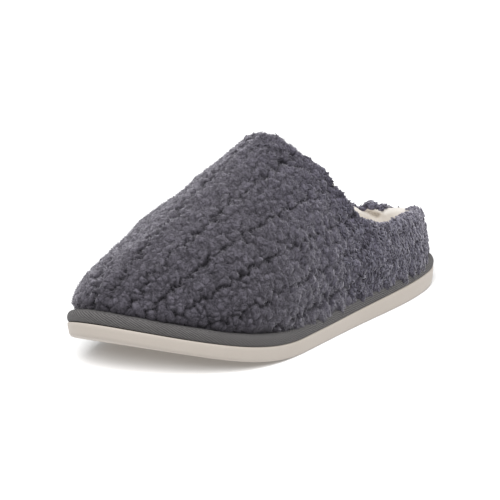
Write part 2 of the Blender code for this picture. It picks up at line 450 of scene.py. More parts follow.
# %% Outline of the sole
MM = 1000  # millimetres in a metre
OUTLINE = np.array([
    # across, along
    (0.0018, 0.1400),    # heel back
    (0.0294, 0.1274),    # outer heel corner
    (0.0402, 0.1008),    # outer heel
    (0.0452, 0.0224),    # outer waist
    (0.0478, -0.0392),   # outer ball
    (0.0412, -0.1008),   # outer toe
    (0.0052, -0.1364),   # tip, outer side
    (-0.0094, -0.1400),  # toe tip
    (-0.0239, -0.1364),  # tip, inner side
    (-0.0429, -0.1064),  # inner toe
    (-0.0479, -0.0560),  # inner ball
    (-0.0362, 0.0224),   # inner waist
    (-0.0366, 0.1008),   # inner heel
    (-0.0258, 0.1274),   # inner heel corner
])
DENSE = 720


def outline(inset):
    """The sole's outline from above, drawn in by inset, from the back of the heel."""
    knots = lengths_along(OUTLINE)
    line = closed_spline(knots, OUTLINE, np.linspace(0, knots[-1], DENSE, endpoint=False))
    line = line - inset * outward(line)
    return np.roll(line, -line[:, 1].argmax(), axis=0)


print(f"outline: {lengths_along(outline(0.0))[-1] * MM:.0f} mm round")

# %% [markdown]
# ## Heights of the sole
# The sole lies flat from the heel to the ball and lifts in front, which shoemakers call toe
# spring. It is a little thicker under the heel.

# %% Heights of the sole
HALF_LENGTH = 0.140
FOREFOOT_THICKNESS, HEEL_THICKNESS, TOE_THICKNESS = 0.0080, 0.0098, 0.0066
TOE_SPRING, SPRING_POWER, BALL_LINE = 0.0210, 1.8, -0.045
HEEL_RISE, HEEL_RISE_START = 0.0012, 0.112
HEEL_WEDGE_START, HEEL_WEDGE_END = -0.028, 0.098


def smooth_step(value, start, end):
    """0 before start, 1 after end, and an even S between them."""
    share = np.clip((value - start) / (end - start), 0, 1)
    return share * share * (3 - 2 * share)


def toe_share(along):
    """How far a place lies from the ball line, 0, to the toe tip, 1."""
    return np.clip((BALL_LINE - along) / (BALL_LINE + HALF_LENGTH), 0, 1)


def sole_bottom(along):
    """Height of the underside: flat from heel to ball, then a power curve up to the toe."""
    heel = np.clip((along - HEEL_RISE_START) / (HALF_LENGTH - HEEL_RISE_START), 0, 1)
    return TOE_SPRING * toe_share(along) ** SPRING_POWER + HEEL_RISE * heel**2


def sole_top(along):
    """Height of the top face: the toe spring and a thickness that changes along the shoe."""
    wedge = smooth_step(along, HEEL_WEDGE_START, HEEL_WEDGE_END)
    thickness = FOREFOOT_THICKNESS + (HEEL_THICKNESS - FOREFOOT_THICKNESS) * wedge
    thickness = thickness + (TOE_THICKNESS - FOREFOOT_THICKNESS) * toe_share(along)
    return TOE_SPRING * toe_share(along) ** SPRING_POWER + thickness


print(f"toe: underside {sole_bottom(-HALF_LENGTH) * MM:.1f} mm above the floor")

# %% [markdown]
# ## The upper's face
# Cloth is pulled over a last, so its face is a smooth form. Each rib is a cubic curve that leaves
# the taped edge upwards and comes to the topline from outside and below. A few ribs are given,
# and closed splines along the edge make all the ribs between them.

# %% Ribs of the upper
FEATHER_INSET = 0.0026
OUTER, INNER = 1, -1
RIBS = np.array([
    # side, feather along, top across, top along, top height, rise, flare, reach, drop
    (OUTER, 0.1374, 0.0018, 0.1343, 0.0340, 0.007, 0.0005, 0.0010, 0.008),   # heel back
    (OUTER, 0.1220, 0.0284, 0.1190, 0.0362, 0.007, 0.0005, 0.0010, 0.008),   # outer heel corner
    (OUTER, 0.0970, 0.0355, 0.0960, 0.0375, 0.008, 0.0010, 0.0015, 0.008),   # outer heel
    (OUTER, 0.0620, 0.0392, 0.0620, 0.0405, 0.010, 0.0012, 0.0020, 0.010),   # outer quarter
    (OUTER, 0.0260, 0.0388, 0.0300, 0.0500, 0.014, 0.0015, 0.0035, 0.012),   # outer throat corner
    (OUTER, -0.0010, 0.0318, 0.0180, 0.0665, 0.022, 0.0020, 0.0070, 0.013),  # outer throat side
    (OUTER, -0.0310, 0.0206, 0.0070, 0.0825, 0.028, 0.0024, 0.0150, 0.016),  # outer shoulder
    (OUTER, -0.0660, 0.0085, 0.0005, 0.0922, 0.027, 0.0024, 0.0320, 0.020),  # outer ball
    (OUTER, -0.1080, 0.0010, -0.0015, 0.0946, 0.022, 0.0020, 0.0500, 0.024),  # outer toe
    (OUTER, -0.1374, -0.0025, -0.0018, 0.0950, 0.020, 0.0012, 0.0600, 0.026),  # toe tip
    (INNER, -0.1120, -0.0060, -0.0015, 0.0944, 0.022, 0.0020, 0.0500, 0.024),  # inner toe
    (INNER, -0.0700, -0.0132, 0.0005, 0.0912, 0.027, 0.0020, 0.0320, 0.020),  # inner ball
    (INNER, -0.0330, -0.0230, 0.0070, 0.0810, 0.028, 0.0020, 0.0130, 0.016),  # inner shoulder
    (INNER, -0.0010, -0.0302, 0.0180, 0.0655, 0.022, 0.0020, 0.0060, 0.013),  # inner throat side
    (INNER, 0.0260, -0.0332, 0.0300, 0.0500, 0.014, 0.0015, 0.0030, 0.012),  # inner throat corner
    (INNER, 0.0620, -0.0325, 0.0620, 0.0405, 0.010, 0.0012, 0.0020, 0.010),  # inner quarter
    (INNER, 0.0970, -0.0319, 0.0960, 0.0365, 0.008, 0.0010, 0.0015, 0.008),  # inner heel
    (INNER, 0.1220, -0.0248, 0.1190, 0.0345, 0.007, 0.0005, 0.0010, 0.008),  # inner heel corner
])
FEATHER = outline(FEATHER_INSET)
FEATHER_OUT = outward(FEATHER)
FEATHER_LENGTHS = lengths_along(FEATHER)
FEATHER_ROUND = FEATHER_LENGTHS[-1]


def feather_place(side, along):
    """Distance round the feather line of the point on that side that is nearest to along."""
    tip = FEATHER[:, 1].argmin()
    on_side = (np.arange(DENSE) <= tip) == (side == OUTER)
    return FEATHER_LENGTHS[np.where(on_side, np.abs(FEATHER[:, 1] - along), 1.0).argmin()]


RIB_PLACES = np.array([feather_place(side, along) for side, along in RIBS[:, :2]])
RIB_PLACES[0] = 0.0
print(f"feather line: {FEATHER_ROUND * MM:.0f} mm round, with {len(RIBS)} ribs")

# %% Face of the upper
GAP = 0.0003
TAPE_HEIGHT = 0.0058
HEEL_LEAN, LEAN_START, LEAN_END = 0.0018, 0.080, 0.120
SIDE_STEP, UP_STEP = 2e-4, 2e-3


def upper_face(at, share):
    """Points [rib, step] of the upper's outer face, before any pile.

    A rib is the cubic Bezier curve through its foot on the feather line, the wall point above
    it, the crown point outside the topline, and the topline, taken at the shares of the way up.
    Round the heel the wall leans in as it rises.
    """
    shape = closed_spline(np.append(RIB_PLACES, FEATHER_ROUND), RIBS[:, 2:], at)
    top, rise, flare, reach, drop = shape[:, :3], *shape[:, 3:].T
    foot = read_round(FEATHER, FEATHER, at)
    out = read_round(FEATHER, FEATHER_OUT, at)
    start = np.column_stack([foot, sole_top(foot[:, 1]) + TAPE_HEIGHT + GAP])
    wall = start + np.column_stack([out * flare[:, None], rise])
    towards_foot = foot - top[:, :2]
    towards_foot /= np.linalg.norm(towards_foot, axis=1)[:, None]
    crown = top + np.column_stack([towards_foot * reach[:, None], -drop])
    start, wall, crown, top = (point[:, None, :] for point in (start, wall, crown, top))
    share = np.asarray(share)[None, :, None]
    rest = 1 - share
    lean = HEEL_LEAN * smooth_step(foot[:, 1], LEAN_START, LEAN_END)
    inwards = np.column_stack([-out * lean[:, None], 0 * lean])[:, None, :]
    curve = start * rest**3 + 3 * wall * rest**2 * share + 3 * crown * rest * share**2 + top * share**3
    return curve + inwards * share


def unit(vectors):
    """Vectors brought to length 1."""
    return vectors / np.maximum(np.linalg.norm(vectors, axis=-1, keepdims=True), 1e-12)


def upper_directions(at, share):
    """(outward, up the rib) at each point of the face, from points a small step to each side."""
    around = upper_face(at + SIDE_STEP, share) - upper_face(at - SIDE_STEP, share)
    up = upper_face(at, share + UP_STEP) - upper_face(at, share - UP_STEP)
    return unit(np.cross(up, around)), unit(up)


topline = upper_face(RIB_PLACES, [1.0])
print(f"upper: its topline is {topline[..., 2].min() * MM:.0f} to {topline[..., 2].max() * MM:.0f} mm high")

# %% [markdown]
# ## Strips of plush
# The plush is cut in three strips that meet at the toe and at the two corners of the throat. Each
# is a grid of ribs: up the outside, over the rim, and back down inside the wall, so a strip is a
# closed layer and not a sheet. The heel's ribs are short and need few steps. Round the toe the
# ribs lie closer together, because there they are far apart at their foot.

# %% Strips of plush
THROAT_CORNER = 0.026
TOE_CLOSENESS, CLOSE_START, CLOSE_END = 0.9, -0.120, -0.060
RIB_SAMPLES = 400
VAMP_START = feather_place(OUTER, THROAT_CORNER)
VAMP_END = feather_place(INNER, THROAT_CORNER)
TOE_TIP = feather_place(OUTER, -HALF_LENGTH)
STRIPS = {
    # start and end round the feather line, spaces between ribs, steps up a rib
    "outer_vamp": (VAMP_START, TOE_TIP, 290, 230),
    "inner_vamp": (TOE_TIP, VAMP_END, 240, 210),
    "heel": (VAMP_END, VAMP_START + FEATHER_ROUND, 380, 42),
}


def rib_places(start, end, spaces):
    """Places of ribs from start to end, closer together where the outline goes round the toe."""
    at = np.linspace(start, end, RIB_SAMPLES)
    along = read_round(FEATHER, FEATHER, at)[:, 1]
    weight = 1 + TOE_CLOSENESS * (1 - smooth_step(along, CLOSE_START, CLOSE_END))
    share = np.append(0, np.cumsum(weight[1:] + weight[:-1]))
    return np.interp(np.linspace(0, share[-1], spaces + 1), share, at)


print(f"vamp: {(VAMP_END - VAMP_START) * MM:.0f} mm of the edge, from corner to corner of the throat")

# %% Over the rim
WALL = 0.0068
PLUSH_LAYER = 0.0034
RIM_STEPS = 8
RIM_TURNS = [
    # distance round from the heel back, degrees that the plush turns over the rim
    (-0.060, 84), (-0.025, 84), (-0.022, 124), (-0.017, 124), (-0.0150, 108), (-0.0125, 124),
    (-0.003, 134), (-0.0005, 70), (0.002, 50), (0.011, 50), (0.015, 84), (0.020, 106),
    (0.050, 106), (0.080, 84),
]
BACK_SHARES = np.linspace(0.98, 0.0, 7)


def rim_ends(at):
    """How far the plush turns over the rim, read from the table: more where tufts fall inwards."""
    from_back = np.mod(at + FEATHER_ROUND / 2, FEATHER_ROUND) - FEATHER_ROUND / 2
    return np.radians(np.interp(from_back, *np.array(RIM_TURNS).T))


def wall_loops(at, steps):
    """(points, outward) of the plush layer on the ribs at `at`.

    The loops go up the face, over a rim of half the wall's thickness about its middle, and down
    again inside the wall.
    """
    share = np.linspace(0, 1, steps + 1)
    face = upper_face(at, share)
    normal, up = upper_directions(at, share)
    turn = (rim_ends(at)[:, None] * np.linspace(0, 1, RIM_STEPS + 1)[1:])[:, :, None]
    rim_out = np.cos(turn) * normal[:, -1:] + np.sin(turn) * up[:, -1:]
    rim = face[:, -1:] + (rim_out - normal[:, -1:]) * WALL / 2
    back = upper_face(at, BACK_SHARES)
    back_out = upper_directions(at, BACK_SHARES)[0]
    points = np.concatenate([face, rim, back - PLUSH_LAYER * back_out], axis=1)
    return points, np.concatenate([normal, rim_out, -back_out], axis=1)


def climb(points):
    """Distance up each rib of a grid of points [rib, loop, 3]."""
    steps = np.linalg.norm(np.diff(points, axis=1), axis=2)
    return np.concatenate([np.zeros((len(points), 1)), np.cumsum(steps, axis=1)], axis=1)


rim_turns = np.degrees(rim_ends(FEATHER_LENGTHS))
print(f"rim: the plush turns {rim_turns.min():.0f} to {rim_turns.max():.0f} degrees over it")

# %% Points of the strips
forms, outs, climbs, backs, shown, STRIP_GRIDS = [], [], [], [], [], {}
first = 0
for part, (start, end, spaces, steps) in STRIPS.items():
    form, out = wall_loops(rib_places(start, end, spaces), steps)
    loops = form.shape[1]
    strip_squares, strip_flat = squares(spaces + 1, loops, wrap_rows=True)
    STRIP_GRIDS[part] = (first, form.shape[:2], strip_squares, strip_flat)
    forms.append(form.reshape(-1, 3))
    outs.append(out.reshape(-1, 3))
    climbs.append(climb(form).ravel())
    backs.append(np.tile(np.arange(loops) > steps + RIM_STEPS, spaces + 1))
    shown.append(first + strip_squares[np.arange(len(strip_squares)) % loops < steps + RIM_STEPS])
    first += (spaces + 1) * loops
PLUSH_FORM, PLUSH_OUT = np.vstack(forms), np.vstack(outs)
PLUSH_CLIMB, ON_BACK, SHOWN = np.concatenate(climbs), np.concatenate(backs), np.vstack(shown)
print(f"plush: {len(PLUSH_FORM)} points in {len(STRIPS)} strips")

# %% [markdown]
# ## Rows of puffs
# The plush is knitted in rows that run along the foot, with a groove between each pair of rows.
# In a row the pile is gathered into soft puffs about as big as a pea. The rows fan out from a
# line inside the shoe, so a row is a slice of angle round that line. Round the heel they run
# level with the taped edge instead.

# %% Rows
ROW_AXIS_ACROSS = -0.003
ROW_AXIS_HEIGHT, ROW_AXIS_SLOPE = 0.0205, 0.075
ROW_ANGLE, FIRST_GROOVE = np.radians(18.2), np.radians(15.2)
HEEL_ROW = 0.017
HEEL_START_OUTER, HEEL_START_INNER = np.radians(100.0), np.radians(106.0)
HEEL_BLEND = (0.020, 0.070)


def rows_at(points, up):
    """The row at points, where up is the distance above the edge.

    Over the vamp the row is the angle round the fan's axis, counted in rows. At the heel it is
    the distance above the edge. Between them one turns smoothly into the other.
    """
    across = points[:, 0] - ROW_AXIS_ACROSS
    height = points[:, 2] - (ROW_AXIS_HEIGHT + ROW_AXIS_SLOPE * points[:, 1])
    angle = np.arctan2(across, height)
    level = up / HEEL_ROW * ROW_ANGLE
    heel_angle = np.where(across > 0, HEEL_START_OUTER - level, level - HEEL_START_INNER)
    heel = smooth_step(points[:, 1], *HEEL_BLEND)
    return np.floor(((1 - heel) * angle + heel * heel_angle - FIRST_GROOVE) / ROW_ANGLE)


print(f"rows: {len(np.unique(rows_at(PLUSH_FORM, PLUSH_CLIMB)))}")

# %% Places on the plush
TOE_CROWDING, CROWD_START, CROWD_END = 1.6, -0.125, -0.075
PUFF_SAMPLES = 26000


def scatter(points, faces, count, draw, crowding=0.0):
    """(face number, place in the face) of count places on four-cornered faces, and the faces' area.

    Crowding 0 spreads them evenly; above 0 there are more of them towards the toe.
    """
    corner = points[faces]
    area = np.linalg.norm(np.cross(corner[:, 2] - corner[:, 0], corner[:, 3] - corner[:, 1]), axis=1)
    share = area * (1 + crowding * (1 - smooth_step(corner[:, 0, 1], CROWD_START, CROWD_END)))
    chosen = np.searchsorted(np.cumsum(share), draw.uniform(0, share.sum(), count))
    return np.minimum(chosen, len(faces) - 1), draw.uniform(size=(count, 2)), area.sum() / 2


def across_face(values, faces, chosen, place):
    """Values at places in faces: the two ways across a square, mixed by the place."""
    first, second = place[:, :1], place[:, 1:]
    corner = values[faces[chosen]]
    low = corner[:, 1] * (1 - first) + corner[:, 0] * first
    high = corner[:, 2] * (1 - first) + corner[:, 3] * first
    return low * (1 - second) + high * second


draw = np.random.default_rng(11)
chosen, place, plush_area = scatter(PLUSH_FORM, SHOWN, PUFF_SAMPLES, draw, TOE_CROWDING)
sample_points = across_face(PLUSH_FORM, SHOWN, chosen, place)
sample_climb = across_face(PLUSH_CLIMB[:, None], SHOWN, chosen, place)[:, 0]
print(f"places: {len(sample_points)} on {plush_area * 1e4:.0f} square cm of plush")

# %% Puff centres
PUFF, PUFF_ROUNDS = 0.0059, 9
ROW_APART = 0.030


def nearest(points, centres, chunk=6000):
    """The number of the centre nearest to each point."""
    points, centres = points.astype(np.float32), centres.astype(np.float32)
    parts = (points[start:start + chunk] for start in range(0, len(points), chunk))
    return np.concatenate([((centres**2).sum(1) - 2 * part @ centres.T).argmin(1) for part in parts])


def spread_evenly(samples, count, seed):
    """Centres spread evenly: each round moves a centre to the middle of the samples nearest to it."""
    draw = np.random.default_rng(seed)
    centres = samples[draw.choice(len(samples), count, replace=False)]
    for _ in range(PUFF_ROUNDS):
        own = nearest(samples, centres)
        size = np.bincount(own, minlength=count)[:, None]
        total = np.stack([np.bincount(own, column, count) for column in samples.T], axis=1)
        centres = np.where(size > 0, total / np.maximum(size, 1), centres)
    return centres


sample_row = rows_at(sample_points, sample_climb)
samples = np.column_stack([sample_points, sample_row * ROW_APART]) * MM
PUFF_COUNT = int(plush_area / (PUFF**2 * np.sqrt(3) / 2))
PUFF_CENTRES = spread_evenly(samples, PUFF_COUNT, 12)
print(f"puffs: {PUFF_COUNT} on {plush_area * 1e4:.0f} square cm")

# %% [markdown]
# ## Soft noise
# No two puffs of real pile are alike, so noise bends their edges and changes their heights.
# Blender's noise nodes can be read by a material only. Here the mesh needs the same numbers, so
# the noise is worked out with numpy: a sum of plane waves for soft swells, and the distance to
# points strewn in a lattice for small round curls.

# %% Noise
WAVES, SHORTEST, LONGEST = 14, 0.7, 1.4
LATTICE_KEYS, SEED_STEP = np.array([73856093, 19349663, 83492791]), 7919
LATTICE_TURNS, LATTICE_GAIN = (0.1271, 0.3117, 0.7433), 43758.5453


def plane_waves(size, seed):
    """Pairs (way, phase) of plane waves in random directions, each about size long."""
    draw = np.random.default_rng(seed)
    ways = unit(draw.normal(size=(WAVES, 3))) * (2 * np.pi / size)
    ways = ways * draw.uniform(SHORTEST, LONGEST, (WAVES, 1))
    return list(zip(ways, draw.uniform(0, 2 * np.pi, WAVES)))


def swells(points, size, seed):
    """Soft noise about 0: the sum of plane waves, divided so that its spread is about 1."""
    waves = sum(np.cos(points @ way + phase) for way, phase in plane_waves(size, seed))
    return waves * np.sqrt(2 / WAVES)


def swell_slopes(points, size, seed):
    """The direction in which that noise rises, of no particular length."""
    return sum(-np.sin(points @ way + phase)[:, None] * way for way, phase in plane_waves(size, seed))


def curls(points, size, seed):
    """Distance, in sizes, to the nearest of points that sit at random in a lattice of cubes.

    A cube's point is the fraction of a large multiple of a sine, whose angle comes from the cube's
    place and the seed. Only a cube and its neighbours can hold the nearest point.
    """
    cell = np.floor(points / size).astype(np.int64)
    inside = points / size - cell
    best = np.full(len(points), 9.0)
    for step in np.stack(np.meshgrid(*[[-1, 0, 1]] * 3, indexing="ij"), -1).reshape(-1, 3):
        key = (cell + step) @ LATTICE_KEYS + seed * SEED_STEP
        jitter = np.stack([np.sin(key * turn) * LATTICE_GAIN % 1.0 for turn in LATTICE_TURNS], 1)
        best = np.minimum(best, ((step + jitter - inside) ** 2).sum(1))
    return np.sqrt(best)


print(f"noise: {WAVES} waves in a swell, spread {swells(PLUSH_FORM, 0.01, 1).std():.2f}")

# %% [markdown]
# ## Relief of the pile
# A puff is a low cushion that falls away to a crease at its edge, and small curls ride on it. It
# could be sculpted by hand or displaced by a texture. Here its height follows from the distances
# to its neighbours, so that the relief is real geometry and the rows stay where they belong. The
# same numbers give a tone for the material: painted shade in the grooves, creases and pits and
# along the seam at the tape, and painted light on the tops of puffs, lumps and curls.

# %% Edges of the puffs
def puff_edges(points, chunk=4000):
    """For each point: its puff, the distance to the puff's middle, and the distances to the edges
    that it shares with the next puff of its own row and with the next puff of another row.

    An edge lies half-way: (second distance squared - first squared) / twice the gap between them.
    """
    points, middle = (points * MM).astype(np.float32), PUFF_CENTRES[:, :3].astype(np.float32)
    rows = np.round(PUFF_CENTRES[:, 3] / (ROW_APART * MM)).astype(int)
    found = []
    for start in range(0, len(points), chunk):
        part = points[start:start + chunk]
        square = (part**2).sum(1)[:, None] + (middle**2).sum(1) - 2 * part @ middle.T
        line = np.arange(len(part))
        own = square.argmin(1)
        own_square = square[line, own].copy()
        square[line, own] = np.inf
        same_row = rows[own][:, None] == rows
        edges = []
        for others in (np.where(same_row, square, np.inf), np.where(same_row, np.inf, square)):
            second = others.argmin(1)
            apart = np.linalg.norm(middle[own] - middle[second], axis=1)
            edges.append((others[line, second] - own_square) / (2 * np.maximum(apart, 1e-6)))
        found.append(np.stack([own, np.sqrt(np.maximum(own_square, 0)), *edges], axis=1))
    own, near, beside, across = np.concatenate(found).T
    return own.astype(int), near / MM, np.maximum(beside, 0) / MM, np.maximum(across, 0) / MM


print(f"puffs: {np.ptp(PUFF_CENTRES[:, 1]):.0f} mm from the foremost middle to the last")

# %% Relief
# Heights of the relief, and how strong the painted shade in grooves, creases and pits and the painted light
# on raised tops are in its tone.
PILE_TOP, PUFF_DEPTH, PUFF_VARY = 0.0006, 0.00042, 0.2
PUFF_BEND, BEND_SIZE, TILT = 0.0007, 0.007, 0.055
GROOVE_WIDTH, GROOVE_DEPTH, GROOVE_PAINTED_SHADE = 0.0006, 0.0022, 0.70
TOE_GROOVE, HEEL_GROOVE_LOSS = 0.60, 0.6
CREASE_WIDTH, CREASE_DEPTH, CREASE_PAINTED_SHADE, HEEL_CREASE_PAINTED_SHADE = 0.00045, 0.0009, 0.20, 0.04
EDGE_POWER, UNEVEN_MIDDLE, UNEVEN_SWING = 1.5, 0.8, 0.4
PIT_WIDTH, PIT_DEPTH, PIT_PAINTED_SHADE = 0.0010, 0.0014, 0.40
LUMP, LUMP_BEND, LUMP_BEND_SIZE = 0.0024, 0.0006, 0.005
LUMP_DEPTH, LUMP_PAINTED_LIGHT = 0.00006, 0.04
CURL, CURL_BEND, CURL_BEND_SIZE = 0.0017, 0.0003, 0.002
CURL_DEPTH, HEEL_CURL_DEPTH, CURL_PAINTED_LIGHT, HEEL_CURL_PAINTED_LIGHT = 0.0002, 0.0008, 0.05, 0.35
FACE_TONE, DOME_PAINTED_LIGHT, VARY_TONE, HEEL_TONE = 0.64, 0.03, 0.04, 0.02
DOME_REACH, DOME_POWER, DOME_LOW = 0.66, 3, -0.5
FORM_SWELL, FORM_SWELL_SIZE = 0.0004, 0.02
CURLY_START, CURLY_END = -0.005, 0.050
TOE_FADE_START, TOE_FADE_END = -0.128, -0.095
# How far up from the tape, and how dark, the painted shade along the seam is.
SEAM_REACH, SEAM_PAINTED_SHADE = 0.0015, 0.45


def uneven(points, least, size, seed):
    """A share from least to 1 that comes and goes, for grooves and creases that aren't all as deep."""
    return np.clip(UNEVEN_MIDDLE + UNEVEN_SWING * swells(points, size, seed), least, 1.0)


def pile_relief(points, up):
    """(height above the form, depth in the pile from 0 to 1, nearest puff) at points of the plush,
    where up is the distance above the taped edge.

    Each puff is a flat cushion, tilted its own way. A thin crease parts it from the next puff of
    its row, and a deep groove from the next row, cut in uneven pits. Towards the heel the puffs
    go over into small curls. The second number, from 0 to 1, is a tone: painted shade in the
    grooves, creases and pits and along the seam, painted light on the tops of puffs, lumps and
    curls, and tone that differs at random from puff to puff and is a little lighter at the heel.
    """
    curly = smooth_step(points[:, 1], CURLY_START, CURLY_END)
    bend = np.stack([swells(points, BEND_SIZE, seed) for seed in (21, 22, 23)], axis=1)
    bent = points + PUFF_BEND * bend
    own, near, beside, across = puff_edges(bent)
    draw = np.random.default_rng(31)
    vary = draw.uniform(-1, 1, PUFF_COUNT)[own]
    tilt = (draw.normal(size=(PUFF_COUNT, 3))[own] * (bent - PUFF_CENTRES[own, :3] / MM)).sum(1)
    toe_fade = TOE_GROOVE + (1 - TOE_GROOVE) * smooth_step(points[:, 1], TOE_FADE_START, TOE_FADE_END)
    groove = np.exp(-((across / GROOVE_WIDTH) ** EDGE_POWER))
    groove = groove * uneven(points, least=0.4, size=0.012, seed=27)
    groove = groove * toe_fade * (1 - HEEL_GROOVE_LOSS * curly)
    crease = np.exp(-((beside / CREASE_WIDTH) ** EDGE_POWER))
    crease = crease * uneven(points, least=0.2, size=0.010, seed=28)
    pit = np.exp(-((np.hypot(across, beside) / PIT_WIDTH) ** 2))
    dome = np.clip(1 - (near / (DOME_REACH * PUFF)) ** DOME_POWER, DOME_LOW, 1)
    lump = 1 - curls(points + LUMP_BEND * swells(points, LUMP_BEND_SIZE, 24)[:, None], LUMP, 5)
    curl = 1 - curls(points + CURL_BEND * swells(points, CURL_BEND_SIZE, 29)[:, None], CURL, 6)
    height = PILE_TOP + PUFF_DEPTH * dome * (1 + PUFF_VARY * vary) + TILT * tilt
    curl_depth = CURL_DEPTH + (HEEL_CURL_DEPTH - CURL_DEPTH) * curly
    height = height + LUMP_DEPTH * lump + curl_depth * curl
    height = height + FORM_SWELL * swells(points, FORM_SWELL_SIZE, 25)
    height = height - GROOVE_DEPTH * groove - CREASE_DEPTH * crease - PIT_DEPTH * pit
    # Tone: painted light on the tops of puffs, lumps and curls, a random tone for each puff, and painted
    # shade in grooves, creases and pits.
    tone_and_shade = FACE_TONE + DOME_PAINTED_LIGHT * dome + LUMP_PAINTED_LIGHT * lump
    tone_and_shade = tone_and_shade + (CURL_PAINTED_LIGHT + HEEL_CURL_PAINTED_LIGHT * curly) * curl + VARY_TONE * vary
    tone_and_shade = tone_and_shade - GROOVE_PAINTED_SHADE * groove - (CREASE_PAINTED_SHADE + HEEL_CREASE_PAINTED_SHADE * curly) * crease
    tone_and_shade = tone_and_shade - PIT_PAINTED_SHADE * pit + HEEL_TONE * curly
    # Painted shade along the seam, where the pile is pinched in above the tape.
    tone_and_shade = tone_and_shade - SEAM_PAINTED_SHADE * np.exp(-((up / SEAM_REACH) ** 2))
    return height, np.clip(tone_and_shade, 0, 1), own


# The second number is the pile's tone, with its painted shade and painted light, for the materials.
height, PLUSH_TONE_AND_SHADE, PLUSH_OWN = pile_relief(PLUSH_FORM, PLUSH_CLIMB)
print(f"relief: {height.min() * MM:.1f} to {height.max() * MM:.1f} mm about the form")

# %% Edge of the pile
HANG_START, HANG_END = -0.080, -0.025
HANG_STOP, HANG_FADE, HEEL_HANG_LOSS = 0.100, 0.020, 0.7
EDGE_REACH, RAGGED_SIZE = 0.0030, 0.009
RAGGED_MIDDLE, RAGGED_SWING, RAGGED_RANGE = 0.7, 0.5, (0.1, 1.3)
TOE_TUCK, HANG_OUT, HANG_DOWN = 0.0024, 0.0012, 0.0022


def hang_share(points):
    """How far the pile hangs over the tape: not at the toe, fully along the side, less at the heel."""
    heel = smooth_step(points[:, 1], HANG_STOP, HANG_STOP + HANG_FADE)
    return smooth_step(points[:, 1], HANG_START, HANG_END) * (1 - HEEL_HANG_LOSS * heel)


def edge_shift(points, out, up):
    """How the pile moves near the taped edge: drawn in at the toe, out and down further back.

    The move fades as a bell with the distance up from the edge, and noise makes the hem ragged.
    """
    near = np.exp(-((up / EDGE_REACH) ** 2))
    ragged = np.clip(RAGGED_MIDDLE + RAGGED_SWING * swells(points, RAGGED_SIZE, 33), *RAGGED_RANGE)
    hang = hang_share(points) * ragged
    sideways = (HANG_OUT * hang - TOE_TUCK * (1 - hang_share(points))) * near
    return out * sideways[:, None] - np.array([0, 0, 1.0]) * (HANG_DOWN * hang * near)[:, None]


PLUSH_SHIFT = edge_shift(PLUSH_FORM, PLUSH_OUT, PLUSH_CLIMB) * ~ON_BACK[:, None]
print(f"hem: the pile comes down by up to {-PLUSH_SHIFT[:, 2].min() * MM:.1f} mm")

# %% Tufts and swells
HEEL_TUCK = 0.0018
TUFTS = [
    # across, along, height of the middle, radius, lift
    (-0.0180, 0.1236, 0.0375, 0.0034, 0.0026),
    (-0.0100, 0.1270, 0.0375, 0.0028, 0.0024),
    (-0.0066, 0.1280, 0.0375, 0.0028, 0.0022),
    (-0.0022, 0.1285, 0.0375, 0.0032, 0.0026),
    (0.0030, 0.1310, 0.0370, 0.0022, 0.0008),
    (0.0072, 0.1310, 0.0370, 0.0022, 0.0010),
]
SWELLS = [
    # across, along, height of the middle, radius, lift
    (-0.0160, -0.0020, 0.0940, 0.0120, -0.0008),
    (0.0300, 0.0160, 0.0670, 0.0140, -0.0013),
    (0.0385, 0.0260, 0.0520, 0.0120, -0.0020),
    (-0.0260, -0.1000, 0.0500, 0.0180, -0.0014),
    (0.0360, 0.0950, 0.0400, 0.0200, 0.0014),
    (0.0250, 0.1120, 0.0390, 0.0120, 0.0010),
    (0.0170, 0.1200, 0.0390, 0.0080, 0.0014),
    (0.0175, 0.0090, 0.0855, 0.0080, -0.0010),
    (0.0055, 0.0015, 0.0945, 0.0080, 0.0008),
]


def bells(points, table):
    """The sum of round bells, each about its middle with its own radius and lift."""
    return sum(
        lift * np.exp(-((points - place) ** 2).sum(1) / radius**2) for *place, radius, lift in table
    )


heel_back = smooth_step(PLUSH_FORM[:, 1], LEAN_START, LEAN_END)
height = height - HEEL_TUCK * heel_back
height = np.where(ON_BACK, 0.0, height + bells(PLUSH_FORM, TUFTS) + bells(PLUSH_FORM, SWELLS))
PLUSH_POINTS = PLUSH_FORM + PLUSH_OUT * height[:, None] + PLUSH_SHIFT
print(f"pile: {height.min() * MM:.1f} to {height.max() * MM:.1f} mm about the form, with its tufts")

# %% The way that puffs face
PUFF_AVERAGES, PUFF_SHARE = 3, 0.52


def puff_out(points, out):
    """The outward direction of a grid [rib, loop, 3]: partly its form's and partly its puffs'.

    The puffs' direction is square to the steps to the next ribs and loops, and is averaged over
    the neighbours, so that single curls don't count.
    """
    normal = unit(np.cross(np.gradient(points, axis=1), np.gradient(points, axis=0)))
    normal = normal * np.sign((normal * out).sum(2, keepdims=True))
    for _ in range(PUFF_AVERAGES):
        wide = np.pad(normal, ((1, 1), (1, 1), (0, 0)), mode="edge")
        normal = (wide[:-2, 1:-1] + wide[2:, 1:-1] + wide[1:-1, :-2] + wide[1:-1, 2:] + normal) / 5
    return unit((1 - PUFF_SHARE) * out + PUFF_SHARE * unit(normal))


def strip_puffs(part):
    """That direction at the points of one strip."""
    start, (ribs, loops), *_ = STRIP_GRIDS[part]
    own, size = slice(start, start + ribs * loops), (ribs, loops, 3)
    return puff_out(PLUSH_POINTS[own].reshape(size), PLUSH_OUT[own].reshape(size)).reshape(-1, 3)


PUFF_OUT = np.vstack([strip_puffs(part) for part in STRIPS])
turned = np.degrees(np.arccos(np.clip((PUFF_OUT * PLUSH_OUT).sum(1), -1, 1)))
print(f"puffs: face {turned.mean():.0f} degrees away from the form on average")

